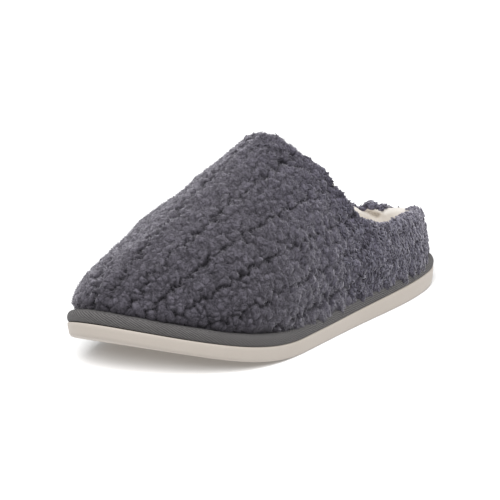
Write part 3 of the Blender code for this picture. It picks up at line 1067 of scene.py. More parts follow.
# %% [markdown]
# ## Plush finish
# At a slant the many ends of pile catch the light in a soft edge, which Blender calls sheen. A
# hair shader needs hair, so this is a cloth: the tone stored on the points is painted shade in the
# pits and painted light at the tips, thin lines of painted shade part the strands, and the sheen
# grows with the slant of the puffs. The grey is a little cooler towards the outer heel, so a tint
# changes slowly along the shoe.

# %% Plush
NAP_SIZE, NAP_DEPTH, NAP_STRENGTH = 0.0042, 0.0018, 0.7
WRINKLE_THIN, WRINKLE_PAINTED_SHADE, PLUSH_LIGHTER = 18.0, 0.24, 0.125
SHEEN_POWER, SHEEN_ROUGH, SHEEN_TINT = 3.0, 0.6, (0.94, 0.91, 1.0)
COOL_SLANT, COOL_START, COOL_REACH = 0.8, -0.040, 0.080
COOL_TINTS = [(0.0, (1.0, 1.0, 1.01)), (1.0, (1.0, 1.0, 1.11))]


def plush_finish(name, tip, sheen_gain):
    """Grey pile: dark in the pits, with tips of a lighter colour and a soft light edge.

    The stored tone gives painted shade in the pits and painted light at the tips. Its fine
    wrinkles are thin lines of painted shade where a noise passes through its middle value, in the
    valleys of the bump. The sheen is a power of the slant at which form and puffs, mixed, are
    seen. The tint follows a line from the toe to the outer heel.
    """
    finish = Finish(name, roughness=0.95)
    nap = finish.noise(NAP_SIZE, detail=1.0, roughness=0.4)
    away = finish.maths("ABSOLUTE", finish.maths("SUBTRACT", nap, 0.5))
    beside = finish.maths("MINIMUM", finish.maths("MULTIPLY", away, WRINKLE_THIN), 1.0)
    wrinkle = finish.maths("SUBTRACT", 1.0, beside)
    # Painted shade in the thin wrinkles, which lie in the valleys of the bump.
    wrinkle_shade = finish.maths("MULTIPLY", wrinkle, WRINKLE_PAINTED_SHADE)
    tone_and_shade = finish.maths("SUBTRACT", finish.number("tone_and_shade"), wrinkle_shade)
    # The dark end of the ramp is painted shade in the pits, its light end painted light at the tips.
    colour = finish.ramp(finish.maths("ADD", tone_and_shade, PLUSH_LIGHTER), [
        (0.10, (0.017, 0.016, 0.020)), (0.45, (0.054, 0.049, 0.060)), (0.75, (0.091, 0.084, 0.101)),
        (1.0, tip),
    ])
    place = finish.add("ShaderNodeSeparateXYZ", Vector=finish.object_place()).outputs
    behind = finish.maths("ADD", place["Y"], finish.maths("MULTIPLY", place["X"], COOL_SLANT))
    cool = finish.maths("MULTIPLY", finish.maths("SUBTRACT", behind, COOL_START), 1 / COOL_REACH)
    finish.paint(finish.tinted(colour, finish.ramp(cool, COOL_TINTS)))
    finish.bump(away, NAP_DEPTH, NAP_STRENGTH)
    finish.sheen(1.0, SHEEN_ROUGH, SHEEN_TINT)
    form_out = finish.add("ShaderNodeAttribute", attribute_name="form_out").outputs["Vector"]
    slant = finish.add("ShaderNodeLayerWeight", Normal=form_out).outputs["Facing"]
    edge = finish.maths("MULTIPLY", finish.maths("POWER", slant, SHEEN_POWER), sheen_gain)
    finish.feed(finish.maths("MINIMUM", edge, 1.0), finish.shader.inputs["Sheen Weight"])
    return finish.material


PLUSH_FINISH = plush_finish("plush", (0.186, 0.172, 0.210), 3.3)
HEEL_FINISH = plush_finish("heel_plush", (0.178, 0.171, 0.200), 2.1)
print("plush: one finish for the vamp, and one with less sheen for the heel")

# %% Strips to meshes
CAP_PLACES, CAP_SIZE = [(0.98, 0.25), (0.98, 0.75)], 0.01
STRIP_SHARE = np.array([0.96, 1.0])


def strip_mesh(part):
    """A strip's grid, with a cap on the ring of points at each end, which its neighbour hides.

    In the flat layout the two caps lie beside the strip. The edge of a cap is marked sharp.
    """
    start, (ribs, loops), strip_squares, strip_flat = STRIP_GRIDS[part]
    own = slice(start, start + ribs * loops)
    ring = np.arange(loops)
    caps = np.stack([ring[::-1], (ribs - 1) * loops + ring])
    turn = 2 * np.pi * ring / loops
    circle = CAP_SIZE * np.stack([np.cos(turn), np.sin(turn)], axis=1)
    flat = [strip_flat * STRIP_SHARE, np.array(CAP_PLACES)[:, None] + circle]
    mesh = mesh_of(f"plush_{part}", PLUSH_POINTS[own], [strip_squares, caps], flat)
    set_numbers(mesh, "tone_and_shade", PLUSH_TONE_AND_SHADE[own])
    set_directions(mesh, "form_out", PUFF_OUT[own])
    ends = np.zeros(2 * len(mesh.edges), np.int32)
    mesh.edges.foreach_get("vertices", ends)
    rib = ends.reshape(-1, 2) // loops
    sharp = (rib[:, 0] == rib[:, 1]) & np.isin(rib[:, 0], [0, ribs - 1])
    mesh.attributes.new("sharp_edge", "BOOLEAN", "EDGE").data.foreach_set("value", sharp)
    return mesh


for part in STRIPS:
    add_piece(f"plush_{part}", strip_mesh(part), PLUSH_FINISH, "plush", "upper")

# %% [markdown]
# ## Locks of the pile
# Pile is yarn, and at this distance the eye still sees strands. A particle system could grow hair
# on the plush, but hair isn't a mesh that other programs can read. So each lock is a small spike
# with three sides, and tens of thousands of them are worked out in one go. They lie in swirls, as
# combed pile does: each follows the level lines of a soft noise. Over the vamp they are straight
# and thin. Round the heel the pile is more open, so there a lock is thicker and has a bend.

# %% Faces of a lock
LOCK_KINDS = {
    # count, length, width, shares of the length with a ring of points
    "outer_vamp": (36000, 0.0017, 0.00036, (0.0,)),
    "inner_vamp": (36000, 0.0017, 0.00036, (0.0,)),
    "heel_sides": (10500, 0.0036, 0.00135, (0.0, 0.4, 0.85)),
}
TILE_EDGE, TILE_STEP, TILE_WIDTH = 0.01, 0.24, 0.22
TILE_FOOT, TILE_RISE = 0.03, 0.94
ROOT_PLACE = [(0.74, 0.05), (0.96, 0.05), (0.85, 0.50)]


def lock_faces(rings):
    """(corner numbers, flat places) of one lock: squares between rings, a pointed tip and a root.

    Its tile of the flat layout has an upright strip for each side, and a corner for the hidden root.
    """
    last, rise = 3 * len(rings), TILE_FOOT + TILE_RISE * np.append(rings, 1.0)
    here, after = np.arange(3), (np.arange(3) + 1) % 3
    left = TILE_EDGE + TILE_STEP * here
    right = left + TILE_WIDTH
    corners, tile = [], []
    for ring in range(len(rings) - 1):
        low, high = np.full(3, rise[ring]), np.full(3, rise[ring + 1])
        corners.append(np.stack([here, after, after + 3, here + 3], axis=1) + 3 * ring)
        tile.append(np.stack([[left, low], [right, low], [right, high], [left, high]]).transpose(2, 0, 1))
    low, high = np.full(3, rise[-2]), np.full(3, rise[-1])
    corners.append(np.stack([here + last - 3, after + last - 3, np.full(3, last)], axis=1))
    tile.append(np.stack([[left, low], [right, low], [left + TILE_WIDTH / 2, high]]).transpose(2, 0, 1))
    corners.append(np.array([[2, 1, 0]]))
    tile.append(np.array([ROOT_PLACE]))
    return corners, tile


for part, (count, *_, rings) in LOCK_KINDS.items():
    print(f"locks: {count} on {part}, with {sum(map(len, lock_faces(rings)[0]))} faces each")

# %% Locks
LOCK_SINK, LOCK_TAPER = 0.0004, 0.3
STRAIGHT_ROOT_SHADE, BENT_ROOT_SHADE = 0.34, 0.16
ROOT_SHADE_MIDDLE, FACING_PAINTED_LIGHT = 0.38, 0.08


def lock_mesh(name, roots, out, ways, bends, lengths, widths, shades, rings, seed):
    """Pointed, three-sided locks along root + (way * t + bend * t squared) * length, for t to 1.

    Each ring is a triangle of points, and the first is sunk into the pile. A lock has its own tile
    in the flat layout. Its tone is painted shade at the root and painted light towards the tip, and
    on a bent lock painted light on the side that faces outwards and painted shade on the side that
    faces the pile.
    in the flat layout. It grows lighter towards its tip, and a bent one also where it faces outwards.
    """
    count, shares, last = len(roots), np.append(rings, 1.0), 3 * len(rings)
    draw = np.random.default_rng(seed)
    side = unit(np.cross(ways, draw.normal(size=(count, 3))))
    other = np.cross(ways, side)
    path = ways[:, None] * shares[:, None] + bends[:, None] * shares[:, None] ** 2
    path = roots[:, None] + path * lengths[:, None, None]
    path[:, 0] -= ways * LOCK_SINK
    turns = np.radians([0, 120, 240])
    spoke = side[:, None] * np.cos(turns)[:, None] + other[:, None] * np.sin(turns)[:, None]
    thick = widths[:, None] / 2 * (1 - LOCK_TAPER * shares[:-1])
    low = path[:, :-1, None] + spoke[:, None] * thick[:, :, None, None]
    points = np.concatenate([low.reshape(count, last, 3), path[:, -1:]], axis=1)
    corners, tile = lock_faces(rings)
    first = np.arange(count)[:, None, None] * (last + 1)
    tiles = int(np.ceil(np.sqrt(count)))
    at = np.stack([np.arange(count) % tiles, np.arange(count) // tiles], axis=1)[:, None, None]
    faces = [(first + part).reshape(-1, part.shape[1]) for part in corners]
    flat = [((at + part) / tiles).reshape(-1, part.shape[1], 2) for part in tile]
    mesh = mesh_of(name, points.reshape(-1, 3), faces, flat)
    bent = len(rings) > 1
    up_the_lock = np.append(np.repeat(rings, 3), 1.0)
    # Painted light on the side of a bent lock that faces outwards, painted shade on the side that faces the
    # pile.
    painted_facing_light = np.tile((spoke * out[:, None]).sum(2), len(rings))
    painted_facing_light = np.append(painted_facing_light, np.zeros((count, 1)), axis=1) * bent
    gain = BENT_ROOT_SHADE if bent else STRAIGHT_ROOT_SHADE
    # Painted shade at the root and painted light towards the tip.
    tone_and_shade = shades[:, None] + gain * (up_the_lock - ROOT_SHADE_MIDDLE) + FACING_PAINTED_LIGHT * painted_facing_light
    set_numbers(mesh, "tone_and_shade", tone_and_shade.clip(0, 1))
    set_directions(mesh, "form_out", np.repeat(out, last + 1, axis=0))
    return mesh


print(f"locks: sunk {LOCK_SINK * MM:.1f} mm into the pile")

# %% Comb the locks
LOCK_SWIRL = 0.0060
LENGTHS, WIDTHS = (0.6, 1.25), (0.7, 1.2)
SHADE_LOW, SHADE_SHARE, SHADE_SPREAD = 0.10, 0.75, 0.09
HEEL_SHADE_LOW, HEEL_SHADE_SHARE, HEEL_SHADE_SWELL = 0.27, 0.60, 0.06
HEEL_SHADE_SIZE, SENSE_SIZE, CURL_SIDE_SIZE = 0.0055, 0.010, 0.004
RIM_START, RIM_END = 0.25, 0.6
FACE_SHARE = 0.5
FACE_PULL, PUFF_PULL, SWIRL_PULL, STRAY_PULL = 0.45, 0.5, 0.8, 0.30
GRAIN_SWIRL, GRAIN_STRAY = 0.9, 0.20
BENT_OUT, BENT_GRAIN, BENT_HANG = 0.6, 0.8, 0.2
BEND_ASIDE, ASIDE_RANGE = 0.8, (0.3, 1.0)
BEND_BACK, RIM_BEND_LOSS = 0.68, 0.5
RIM_SHORTER, HANG_SHORTER = 0.45, 0.35


def comb_locks(name, within, kind, seed):
    """Locks on the plush squares that lie within, leaning with their puff, and hanging at the edge.

    A straight lock goes the way that face, puff and swirl give together. A bent one leaves the pile
    along the swirl, up or down, bends to one side and comes back to the pile; on the rim it is short.
    """
    count, length, width, rings = kind
    draw = np.random.default_rng(seed)
    chosen, place, _ = scatter(PLUSH_POINTS, within, count, draw)
    roots = across_face(PLUSH_POINTS, within, chosen, place)
    corner = PLUSH_POINTS[within[chosen]]
    face_out = unit(np.cross(corner[:, 2] - corner[:, 0], corner[:, 3] - corner[:, 1]))
    first = within[chosen, 0]
    out, up = unit(PLUSH_OUT[first] + FACE_SHARE * face_out), PLUSH_CLIMB[first]
    flat_up = np.array([0, 0, 1.0]) - out * out[:, 2:]
    lean = roots - PUFF_CENTRES[PLUSH_OWN[first], :3] / MM
    lean = (lean - out * (lean * out).sum(1, keepdims=True)) / (PUFF / 2)
    hang = (hang_share(roots) * np.exp(-((up / EDGE_REACH) ** 2)))[:, None]
    stray = draw.normal(size=(count, 3))
    lengths, widths = length * draw.uniform(*LENGTHS, count), width * draw.uniform(*WIDTHS, count)
    # A lock starts from the pile's tone at its root, painted shade included, with a random spread.
    shades = SHADE_LOW + SHADE_SHARE * PLUSH_TONE_AND_SHADE[first] + draw.normal(0, SHADE_SPREAD, count)
    swirl = unit(np.cross(out, swell_slopes(roots, LOCK_SWIRL, 51)))
    if len(rings) == 1:
        ways = FACE_PULL * face_out + PUFF_PULL * lean + SWIRL_PULL * swirl + STRAY_PULL * stray
        ways = unit(ways - hang * flat_up)
        bends = 0 * ways
    else:
        rim = smooth_step(out[:, 2], RIM_START, RIM_END)[:, None]
        sense = np.where(swells(roots, SENSE_SIZE, 53) > 0, 1.0, -1.0)[:, None] * (1 - rim) + rim
        grain = unit(sense * flat_up + GRAIN_SWIRL * swirl + GRAIN_STRAY * stray)
        ways = unit(BENT_OUT * out + BENT_GRAIN * grain - BENT_HANG * hang * flat_up)
        curl_side = np.sign(swells(roots, CURL_SIDE_SIZE, 54))[:, None]
        curl_side = curl_side * draw.uniform(*ASIDE_RANGE, (count, 1))
        bends = BEND_ASIDE * np.cross(out, grain) * curl_side - BEND_BACK * (1 - RIM_BEND_LOSS * rim) * out
        lengths = lengths * (1 - RIM_SHORTER * rim[:, 0]) * (1 - HANG_SHORTER * hang[:, 0])
        patches = HEEL_SHADE_SWELL * swells(roots, HEEL_SHADE_SIZE, 55)
        shades = HEEL_SHADE_SHARE * shades + HEEL_SHADE_LOW + patches
    return lock_mesh(name, roots, PUFF_OUT[first], ways, bends, lengths, widths, shades, rings, seed + 1)


print(f"locks: combed in swirls of {LOCK_SWIRL * MM:.0f} mm")

# %% Locks to meshes
VAMP_BORDER = 0.010
BORDER_SWELL, BORDER_SWELL_SIZE = 0.008, 0.016
BORDER_FRAY, BORDER_FRAY_SIZE = 0.006, 0.005
MIDDLE_LINE = -0.002
LOCK_SEED, LOCK_SEED_STEP = 100, 10


def plush_parts():
    """The shown squares in three parts: outer vamp, inner vamp, and heel and sides.

    Noise makes the border between vamp and sides ragged, so that no line shows there.
    """
    middle = PLUSH_FORM[SHOWN[:, 0]]
    along = middle[:, 1] + BORDER_SWELL * swells(middle, BORDER_SWELL_SIZE, 61)
    along = along + BORDER_FRAY * swells(middle, BORDER_FRAY_SIZE, 62)
    back = along > VAMP_BORDER
    outer = (middle[:, 0] > MIDDLE_LINE) & ~back
    return {"outer_vamp": SHOWN[outer], "inner_vamp": SHOWN[~outer & ~back], "heel_sides": SHOWN[back]}


for number, (part, within) in enumerate(plush_parts().items()):
    locks = comb_locks(f"pile_{part}", within, LOCK_KINDS[part], LOCK_SEED + LOCK_SEED_STEP * number)
    finish = HEEL_FINISH if part == "heel_sides" else PLUSH_FINISH
    add_piece(f"pile_{part}", locks, finish, "plush", "upper")

# %% [markdown]
# ## Fleece lining
# Inside, the shoe is lined with cream fleece, which has small soft curls. The inner face of the
# plush could be painted cream, but at the rim the two cloths meet in a soft step. So the lining is
# a thin closed layer too: over the rim to meet the plush, down the inside of the wall to the
# footbed, and back up in the middle of the wall. At the heel it has a fold. Its tone is painted
# shade between the curls, and the deepest painted shade, warm brown, in the fold.

# %% Curls and fold of the fleece
FLEECE_CURL, FLEECE_DEPTH = 0.0026, 0.0005
FLEECE_TOP, FLEECE_MIDDLE = 1.1, 0.4
FLEECE_BEND, FLEECE_BEND_SIZE = 0.0005, 0.004
FLEECE_SWELL, FLEECE_SWELL_SIZE = 0.0003, 0.014
FOLD_START, FOLD_END = np.array([-0.0122, 0.1226, 0.0362]), np.array([-0.0034, 0.1254, 0.0322])
FOLD_WIDTH, FOLD_NARROW, FOLD_WIDEN, FOLD_GAIN = 0.0017, 0.5, 0.8, 1.6


def fleece_relief(points):
    """(height, depth from 0 to 1) of fleece at points: round curls, and low swells under them."""
    bent = points + FLEECE_BEND * swells(points, FLEECE_BEND_SIZE, 41)[:, None]
    curl = np.clip(FLEECE_TOP - curls(bent, FLEECE_CURL, 9), 0, 1)
    under = FLEECE_SWELL * swells(points, FLEECE_SWELL_SIZE, 42)
    # The curl number is also the tone: painted light on the curls' tops, painted shade between them.
    return FLEECE_DEPTH * (curl - FLEECE_MIDDLE) + under, curl


def fold_share(points):
    """The fold in the lining: 1 on a line between two points, falling off as a bell beside it.

    The fold widens along the line, because it opens downwards.
    """
    line = FOLD_END - FOLD_START
    along = np.clip((points - FOLD_START) @ line / (line @ line), 0, 1)
    beside = np.linalg.norm(points - FOLD_START - along[:, None] * line, axis=1)
    width = FOLD_WIDTH * (FOLD_NARROW + FOLD_WIDEN * along)
    return np.minimum(1.0, FOLD_GAIN * np.exp(-((beside / width) ** 2)))


print(f"fold: {np.linalg.norm(FOLD_END - FOLD_START) * MM:.0f} mm long")

# %% Shape of the lining
LINING_RIBS, LINING_STEPS = 600, 44
LINING_RIM_STEPS, LINING_UNDER = 11, np.radians(12)
LINING_BACK = np.linspace(0.0, 0.98, 7)
LINING_BEHIND = 0.0046


def lining_loops(at):
    """(points, outward, shown) of the lining: over the rim, down the wall's inside, up behind it."""
    top = np.array([1.0])
    face, (normal, up) = upper_face(at, top), upper_directions(at, top)
    start = rim_ends(at)[:, None] - LINING_UNDER
    turn = (start + (np.pi - start) * np.linspace(0, 1, LINING_RIM_STEPS))[:, :, None]
    rim_out = np.cos(turn) * normal + np.sin(turn) * up
    rim = face + (rim_out - normal) * WALL / 2
    share = np.linspace(1, 0, LINING_STEPS + 1)[1:]
    inside_out = -upper_directions(at, share)[0]
    inside = upper_face(at, share) + WALL * inside_out
    back_out = upper_directions(at, LINING_BACK)[0]
    back = upper_face(at, LINING_BACK) - LINING_BEHIND * back_out
    points = np.concatenate([rim, inside, back], axis=1)
    shown = np.arange(points.shape[1]) < LINING_RIM_STEPS + LINING_STEPS
    return points, np.concatenate([rim_out, inside_out, back_out], axis=1), shown


lining_at = np.linspace(0, FEATHER_ROUND, LINING_RIBS, endpoint=False)
lining_form, lining_out, lining_shown = lining_loops(lining_at)
print(f"lining: {LINING_RIBS} ribs of {lining_form.shape[1]} points")

# %% Lining
FLUFF_SIZE, FLUFF_TONE = 0.0009, 0.25
GRAIN_SIZE, GRAIN_DEPTH = 0.0007, 0.0004
LINING_LOW, LINING_CURL_SHADE, FOLD_DEPTH = 0.55, 0.40, 0.0016


def fleece_finish():
    """Cream fleece: warmer and darker between the curls, pale on top, with a soft edge."""
    finish = Finish("lining_fleece", roughness=0.95)
    fluff = finish.speckle(FLUFF_SIZE, FLUFF_TONE, detail=3.0)
    # The ramp is painted shade: warmer and darker between the curls, darkest and brown in the fold.
    finish.paint(finish.ramp(finish.maths("ADD", finish.number("tone_and_shade"), fluff), [
        (0.0, (0.16, 0.13, 0.11)), (0.18, (0.66, 0.60, 0.53)), (0.5, (0.78, 0.735, 0.68)),
        (1.0, (0.82, 0.78, 0.73)),
    ]))
    grain = finish.noise(GRAIN_SIZE, detail=3.0, roughness=0.6)
    finish.bump(grain, GRAIN_DEPTH, strength=0.6)
    finish.sheen(weight=0.15, roughness=0.5, tint=(1.0, 0.97, 0.92))
    return finish.material


def make_lining():
    """The lining's loops, raised by the curls and sunk by the fold where it shows."""
    form, out = lining_form.reshape(-1, 3), lining_out.reshape(-1, 3)
    height, tone_and_shade = fleece_relief(form)
    fold = fold_share(form)
    height = (height - FOLD_DEPTH * fold) * np.tile(lining_shown, LINING_RIBS)
    faces, flat = squares(LINING_RIBS, lining_form.shape[1], wrap_columns=True, wrap_rows=True)
    mesh = mesh_of("lining", form + out * height[:, None], [faces], [flat])
    # Painted shade between the curls, and the deepest painted shade in the fold.
    set_numbers(mesh, "tone_and_shade", (LINING_LOW + LINING_CURL_SHADE * tone_and_shade) * (1 - fold))
    return mesh


FLEECE_FINISH = fleece_finish()
add_piece("lining", make_lining(), FLEECE_FINISH, "fleece", "upper")

# %% [markdown]
# ## Flat pieces cut square to the shoe
# Outsole and footbed are broad and low. Each is a stack of outlines, drawn in a little from one
# to the next, and a section across the shoe joins them: up the outer side, over the top, down the
# inner side and back underneath. At the heel and the toe a section closes to a line, so the
# points that meet there are merged.

# %% Sections across the shoe
MERGE = 1e-6


def sides_of(inset, stations):
    """(outer across, inner across, along) of the inset outline at stations from heel to toe.

    The stations follow a cosine, so that they crowd where the outline turns.
    """
    line = outline(inset)
    tip = line[:, 1].argmin()
    turn = np.linspace(0, np.pi, stations + 1)
    middle, half = (line[0, 1] + line[tip, 1]) / 2, (line[0, 1] - line[tip, 1]) / 2
    along = middle + half * np.cos(turn)
    outer = np.interp(-along, -line[:tip + 1, 1], line[:tip + 1, 0])
    back = np.vstack([line[tip:], line[:1]])
    return outer, np.interp(along, back[:, 1], back[:, 0]), along


def sections(levels, stations, top_columns, under_columns):
    """Points [station, loop, 3] of a flat piece; levels are (inset, surface, lift), lowest first."""
    outer, inner = [], []
    for inset, surface, lift in levels:
        far, near, along = sides_of(inset, stations)
        height = surface(along) + lift
        outer.append(np.stack([far, along, height], axis=1))
        inner.append(np.stack([near, along, height], axis=1))
    outer, inner = np.stack(outer, axis=1), np.stack(inner, axis=1)
    over = np.linspace(0, 1, top_columns + 1)[1:-1, None]
    under = np.linspace(0, 1, under_columns + 1)[1:-1, None]
    top = outer[:, -1:] * (1 - over) + inner[:, -1:] * over
    bottom = inner[:, :1] * (1 - under) + outer[:, :1] * under
    return np.concatenate([outer, top, inner[:, ::-1], bottom], axis=1)


def close_ends(mesh):
    """Merges the points that meet at the heel and the toe."""
    work = bmesh.new()
    work.from_mesh(mesh)
    bmesh.ops.remove_doubles(work, verts=work.verts, dist=MERGE)
    work.to_mesh(mesh)
    work.free()
    mesh.shade_smooth()


outer_side, inner_side, _ = sides_of(0.0, DENSE)
print(f"sole: {(outer_side - inner_side).max() * MM:.0f} mm wide at the ball")

# %% [markdown]
# ## Footbed
# The footbed is a pad covered with the same fleece. Foam presses its cover up, so it is highest
# along the middle and falls to a rolled edge. A cloth simulation swells a coarse pad with air
# inside it; its underside and sides are pinned, because sole and walls hold them. The lift of its
# top is then laid on a finer pad, which has the curls of the fleece.

# %% Levels of the footbed
FOOTBED_INSET = 0.0102
FOOTBED_LEVELS = [
    # inset, surface, lift
    (FOOTBED_INSET + 0.0008, sole_top, GAP),
    (FOOTBED_INSET + 0.0001, sole_top, 0.0020),
    (FOOTBED_INSET, sole_top, 0.0050),
    (FOOTBED_INSET + 0.0002, sole_top, 0.0072),
    (FOOTBED_INSET + 0.0010, sole_top, 0.0088),
    (FOOTBED_INSET + 0.0024, sole_top, 0.0096),
]


def pad_top(columns):
    """The loops of a footbed section that lie on its top."""
    return slice(len(FOOTBED_LEVELS), len(FOOTBED_LEVELS) + columns - 1)


print(f"footbed: {FOOTBED_LEVELS[-1][2] * MM:.1f} mm high at its edge, before it swells")

# %% Swell a pad
PAD_PRESSURE, PAD_GROWTH, PAD_FRAMES = 4.0, 0.01, 20


def swell(mesh, pinned):
    """The points of a closed mesh after a cloth simulation with air inside and no gravity."""
    pad = bpy.data.objects.new("pad_cloth", mesh)
    scene = bpy.context.scene
    scene.collection.objects.link(pad)
    pad.vertex_groups.new(name="pinned").add(pinned, 1.0, "REPLACE")
    cloth = pad.modifiers.new("cloth", "CLOTH")
    cloth.settings.vertex_group_mass = "pinned"
    cloth.settings.use_pressure, cloth.settings.uniform_pressure_force = True, PAD_PRESSURE
    cloth.settings.shrink_min = -PAD_GROWTH
    cloth.settings.effector_weights.gravity = 0.0
    cloth.point_cache.frame_start, cloth.point_cache.frame_end = 1, PAD_FRAMES
    for time in range(1, PAD_FRAMES + 1):
        scene.frame_set(time)
    done = pad.evaluated_get(bpy.context.evaluated_depsgraph_get()).data
    points = np.zeros(3 * len(done.vertices), np.float32)
    done.vertices.foreach_get("co", points)
    bpy.data.objects.remove(pad)
    bpy.data.meshes.remove(mesh)
    scene.frame_set(1)
    return points.reshape(-1, 3)


print(f"cloth: {PAD_FRAMES} frames at a pressure of {PAD_PRESSURE}")

# %% Lift of the pad
PAD_STATIONS, PAD_COLUMNS, PAD_UNDER = 60, 16, 4
PAD_CAP = 0.0016


def pad_lift():
    """Lift [station, column] of a coarse pad's top in the simulation, softly capped.

    Points that meet are merged first. A square with two corners in one place becomes a triangle,
    and one with more such corners has no area and is left out.
    """
    form = sections(FOOTBED_LEVELS, PAD_STATIONS, PAD_COLUMNS, PAD_UNDER)
    top = np.zeros(form.shape[:2], bool)
    top[1:-1, pad_top(PAD_COLUMNS)] = True
    merged, place = np.unique(np.round(form.reshape(-1, 3), 6), axis=0, return_inverse=True)
    place = place.ravel()
    corners = place[squares(*form.shape[:2], wrap_rows=True)[0]]
    repeats = corners == np.roll(corners, -1, axis=1)
    whole, halved = repeats.sum(1) == 0, repeats.sum(1) == 1
    three = corners[halved][~repeats[halved]].reshape(-1, 3)
    mesh = mesh_of("pad_cloth", merged, [corners[whole], three])
    held = np.setdiff1d(np.arange(len(merged)), place[top.ravel()])
    moved = swell(mesh, held.tolist())
    lift = (moved - merged)[place].reshape(form.shape)[:, pad_top(PAD_COLUMNS), 2]
    return PAD_CAP * np.tanh(lift / PAD_CAP)


PAD_LIFT = pad_lift()
print(f"pad: swells {PAD_LIFT.min() * MM:.2f} to {PAD_LIFT.max() * MM:.2f} mm")

# %% Footbed
FOOTBED_STATIONS, FOOTBED_COLUMNS = 260, 56
CURL_EDGE = 6


def finer_lift(lift, columns, stations):
    """The coarse pad's lift, 0 at its two edges, read in straight lines between its points."""
    lift = np.pad(lift, ((0, 0), (1, 1)))
    coarse_columns, coarse_stations = (np.linspace(0, 1, count) for count in lift.shape[::-1])
    lift = np.stack([np.interp(columns, coarse_columns, row) for row in lift])
    return np.stack([np.interp(stations, coarse_stations, row) for row in lift.T], axis=1)


def make_footbed():
    """Sections whose top rises as the pad swelled, with fleece curls on what shows."""
    form = sections(FOOTBED_LEVELS, FOOTBED_STATIONS, FOOTBED_COLUMNS, PAD_UNDER)
    over = np.linspace(0, 1, FOOTBED_COLUMNS + 1)[1:-1]
    top = pad_top(FOOTBED_COLUMNS)
    form[:, top, 2] += finer_lift(PAD_LIFT, over, np.linspace(0, 1, FOOTBED_STATIONS + 1))
    points = form.reshape(-1, 3)
    height, tone_and_shade = fleece_relief(points)
    shown = np.zeros(form.shape[:2])
    shown[:, top] = np.minimum(1.0, CURL_EDGE * over * (1 - over))
    points = points + np.array([0, 0, 1.0]) * (height * shown.ravel())[:, None]
    faces, flat = squares(*form.shape[:2], wrap_rows=True)
    mesh = mesh_of("footbed", points, [faces], [flat])
    # The curls' tone: painted shade between them, painted light on their tops.
    set_numbers(mesh, "tone_and_shade", tone_and_shade)
    close_ends(mesh)
    return mesh


footbed = add_piece("footbed", make_footbed(), FLEECE_FINISH, "fleece", "insole")

# %% [markdown]
# ## Taped edge
# A woven tape is folded over the edge where sole and upper meet. Its outer face is round. The
# weave is a herringbone: fine ribs that lean one way, then the other, in bands along the tape.
# A curve with a bevel could carry the profile round the outline. A grid of points does the same,
# and it has a flat layout, in which the weave can follow the tape.

# %% Shape of the tape
TAPE_AROUND = 1200
TAPE_PROFILE = [
    # inset, height above the outsole
    (0.0006, 0.0002), (0.0002, 0.0006), (0.0000, 0.0013), (-0.0001, 0.0021), (-0.0001, 0.0029),
    (0.0001, 0.0036), (0.0004, 0.0043), (0.0009, 0.0049), (0.0016, 0.0054), (0.0025, 0.0057),
    (0.0040, 0.0058), (0.0068, 0.0058), (0.0096, 0.0058), (0.0096, 0.0032), (0.0096, 0.0004),
    (0.0054, 0.0003),
]


def make_tape():
    """(mesh, length, girth) of the tape: its profile at each point round the outline."""
    line = outline(0.0)
    length = lengths_along(line)[-1]
    around = np.linspace(0, length, TAPE_AROUND, endpoint=False)
    path, out = read_round(line, line, around), unit(read_round(line, outward(line), around))
    inset, lift = np.array(TAPE_PROFILE).T
    flat_place = path[:, None] - inset[:, None] * out[:, None]
    height = sole_top(path[:, 1])[:, None] + lift
    form = np.concatenate([flat_place, height[:, :, None]], axis=2)
    girth = lengths_along(np.array(TAPE_PROFILE))
    faces, flat = squares(*form.shape[:2], wrap_columns=True, wrap_rows=True)
    loop = np.round(flat[:, :, 1] * len(TAPE_PROFILE)).astype(int)
    flat[:, :, 1] = girth[loop] / girth[-1]
    return mesh_of("edge_tape", form.reshape(-1, 3), [faces], [flat]), length, girth[-1]


tape_mesh, tape_length, tape_girth = make_tape()
print(f"tape: {tape_length * MM:.0f} mm long, {tape_girth * MM:.0f} mm round its profile")

# %% Tape
TWILL_PITCH, TWILL_BAND, TWILL_SLANT = 0.0010, 0.0058, np.radians(26)
WOBBLE_SIZE, WOBBLE = 0.0040, 6.0
RIB_TONE, FUZZ_SIZE, FUZZ_TONE = 0.55, 0.0009, 0.5
RIB_DEPTH, RIB_STRENGTH = 0.00035, 0.8


def tape_finish(length, girth):
    """Grey herringbone tape: ribs of a sine across the run, turned back and forth in bands."""
    finish = Finish("binding_tape", roughness=0.85)
    place = finish.add("ShaderNodeUVMap", uv_map="OFBake").outputs["UV"]
    split = finish.add("ShaderNodeSeparateXYZ", Vector=place).outputs
    run, rise = finish.maths("MULTIPLY", split["X"], length), finish.maths("MULTIPLY", split["Y"], girth)
    zigzag = finish.maths("PINGPONG", rise, TWILL_BAND)
    upward = finish.maths("MULTIPLY", zigzag, 2 * np.pi / TWILL_PITCH * np.cos(TWILL_SLANT))
    forward = finish.maths("MULTIPLY", run, 2 * np.pi / TWILL_PITCH * np.sin(TWILL_SLANT))
    wobble = finish.speckle(WOBBLE_SIZE, WOBBLE, detail=2.0)
    phase = finish.maths("ADD", finish.maths("SUBTRACT", upward, forward), wobble)
    rib = finish.maths("MULTIPLY_ADD", finish.maths("SINE", phase), 0.5, 0.5)
    fuzz = finish.speckle(FUZZ_SIZE, FUZZ_TONE, detail=3.0)
    finish.paint(finish.ramp(finish.maths("ADD", finish.maths("MULTIPLY", rib, RIB_TONE), fuzz), [
        (0.15, (0.052, 0.049, 0.050)), (0.50, (0.104, 0.099, 0.099)), (0.95, (0.245, 0.234, 0.230)),
    ]))
    finish.bump(rib, RIB_DEPTH, RIB_STRENGTH)
    finish.sheen(weight=0.08, roughness=0.5, tint=(0.8, 0.8, 0.82))
    return finish.material


tape_material = tape_finish(tape_length, tape_girth)
add_piece("edge_tape", tape_mesh, tape_material, "binding_tape", "edge_binding")

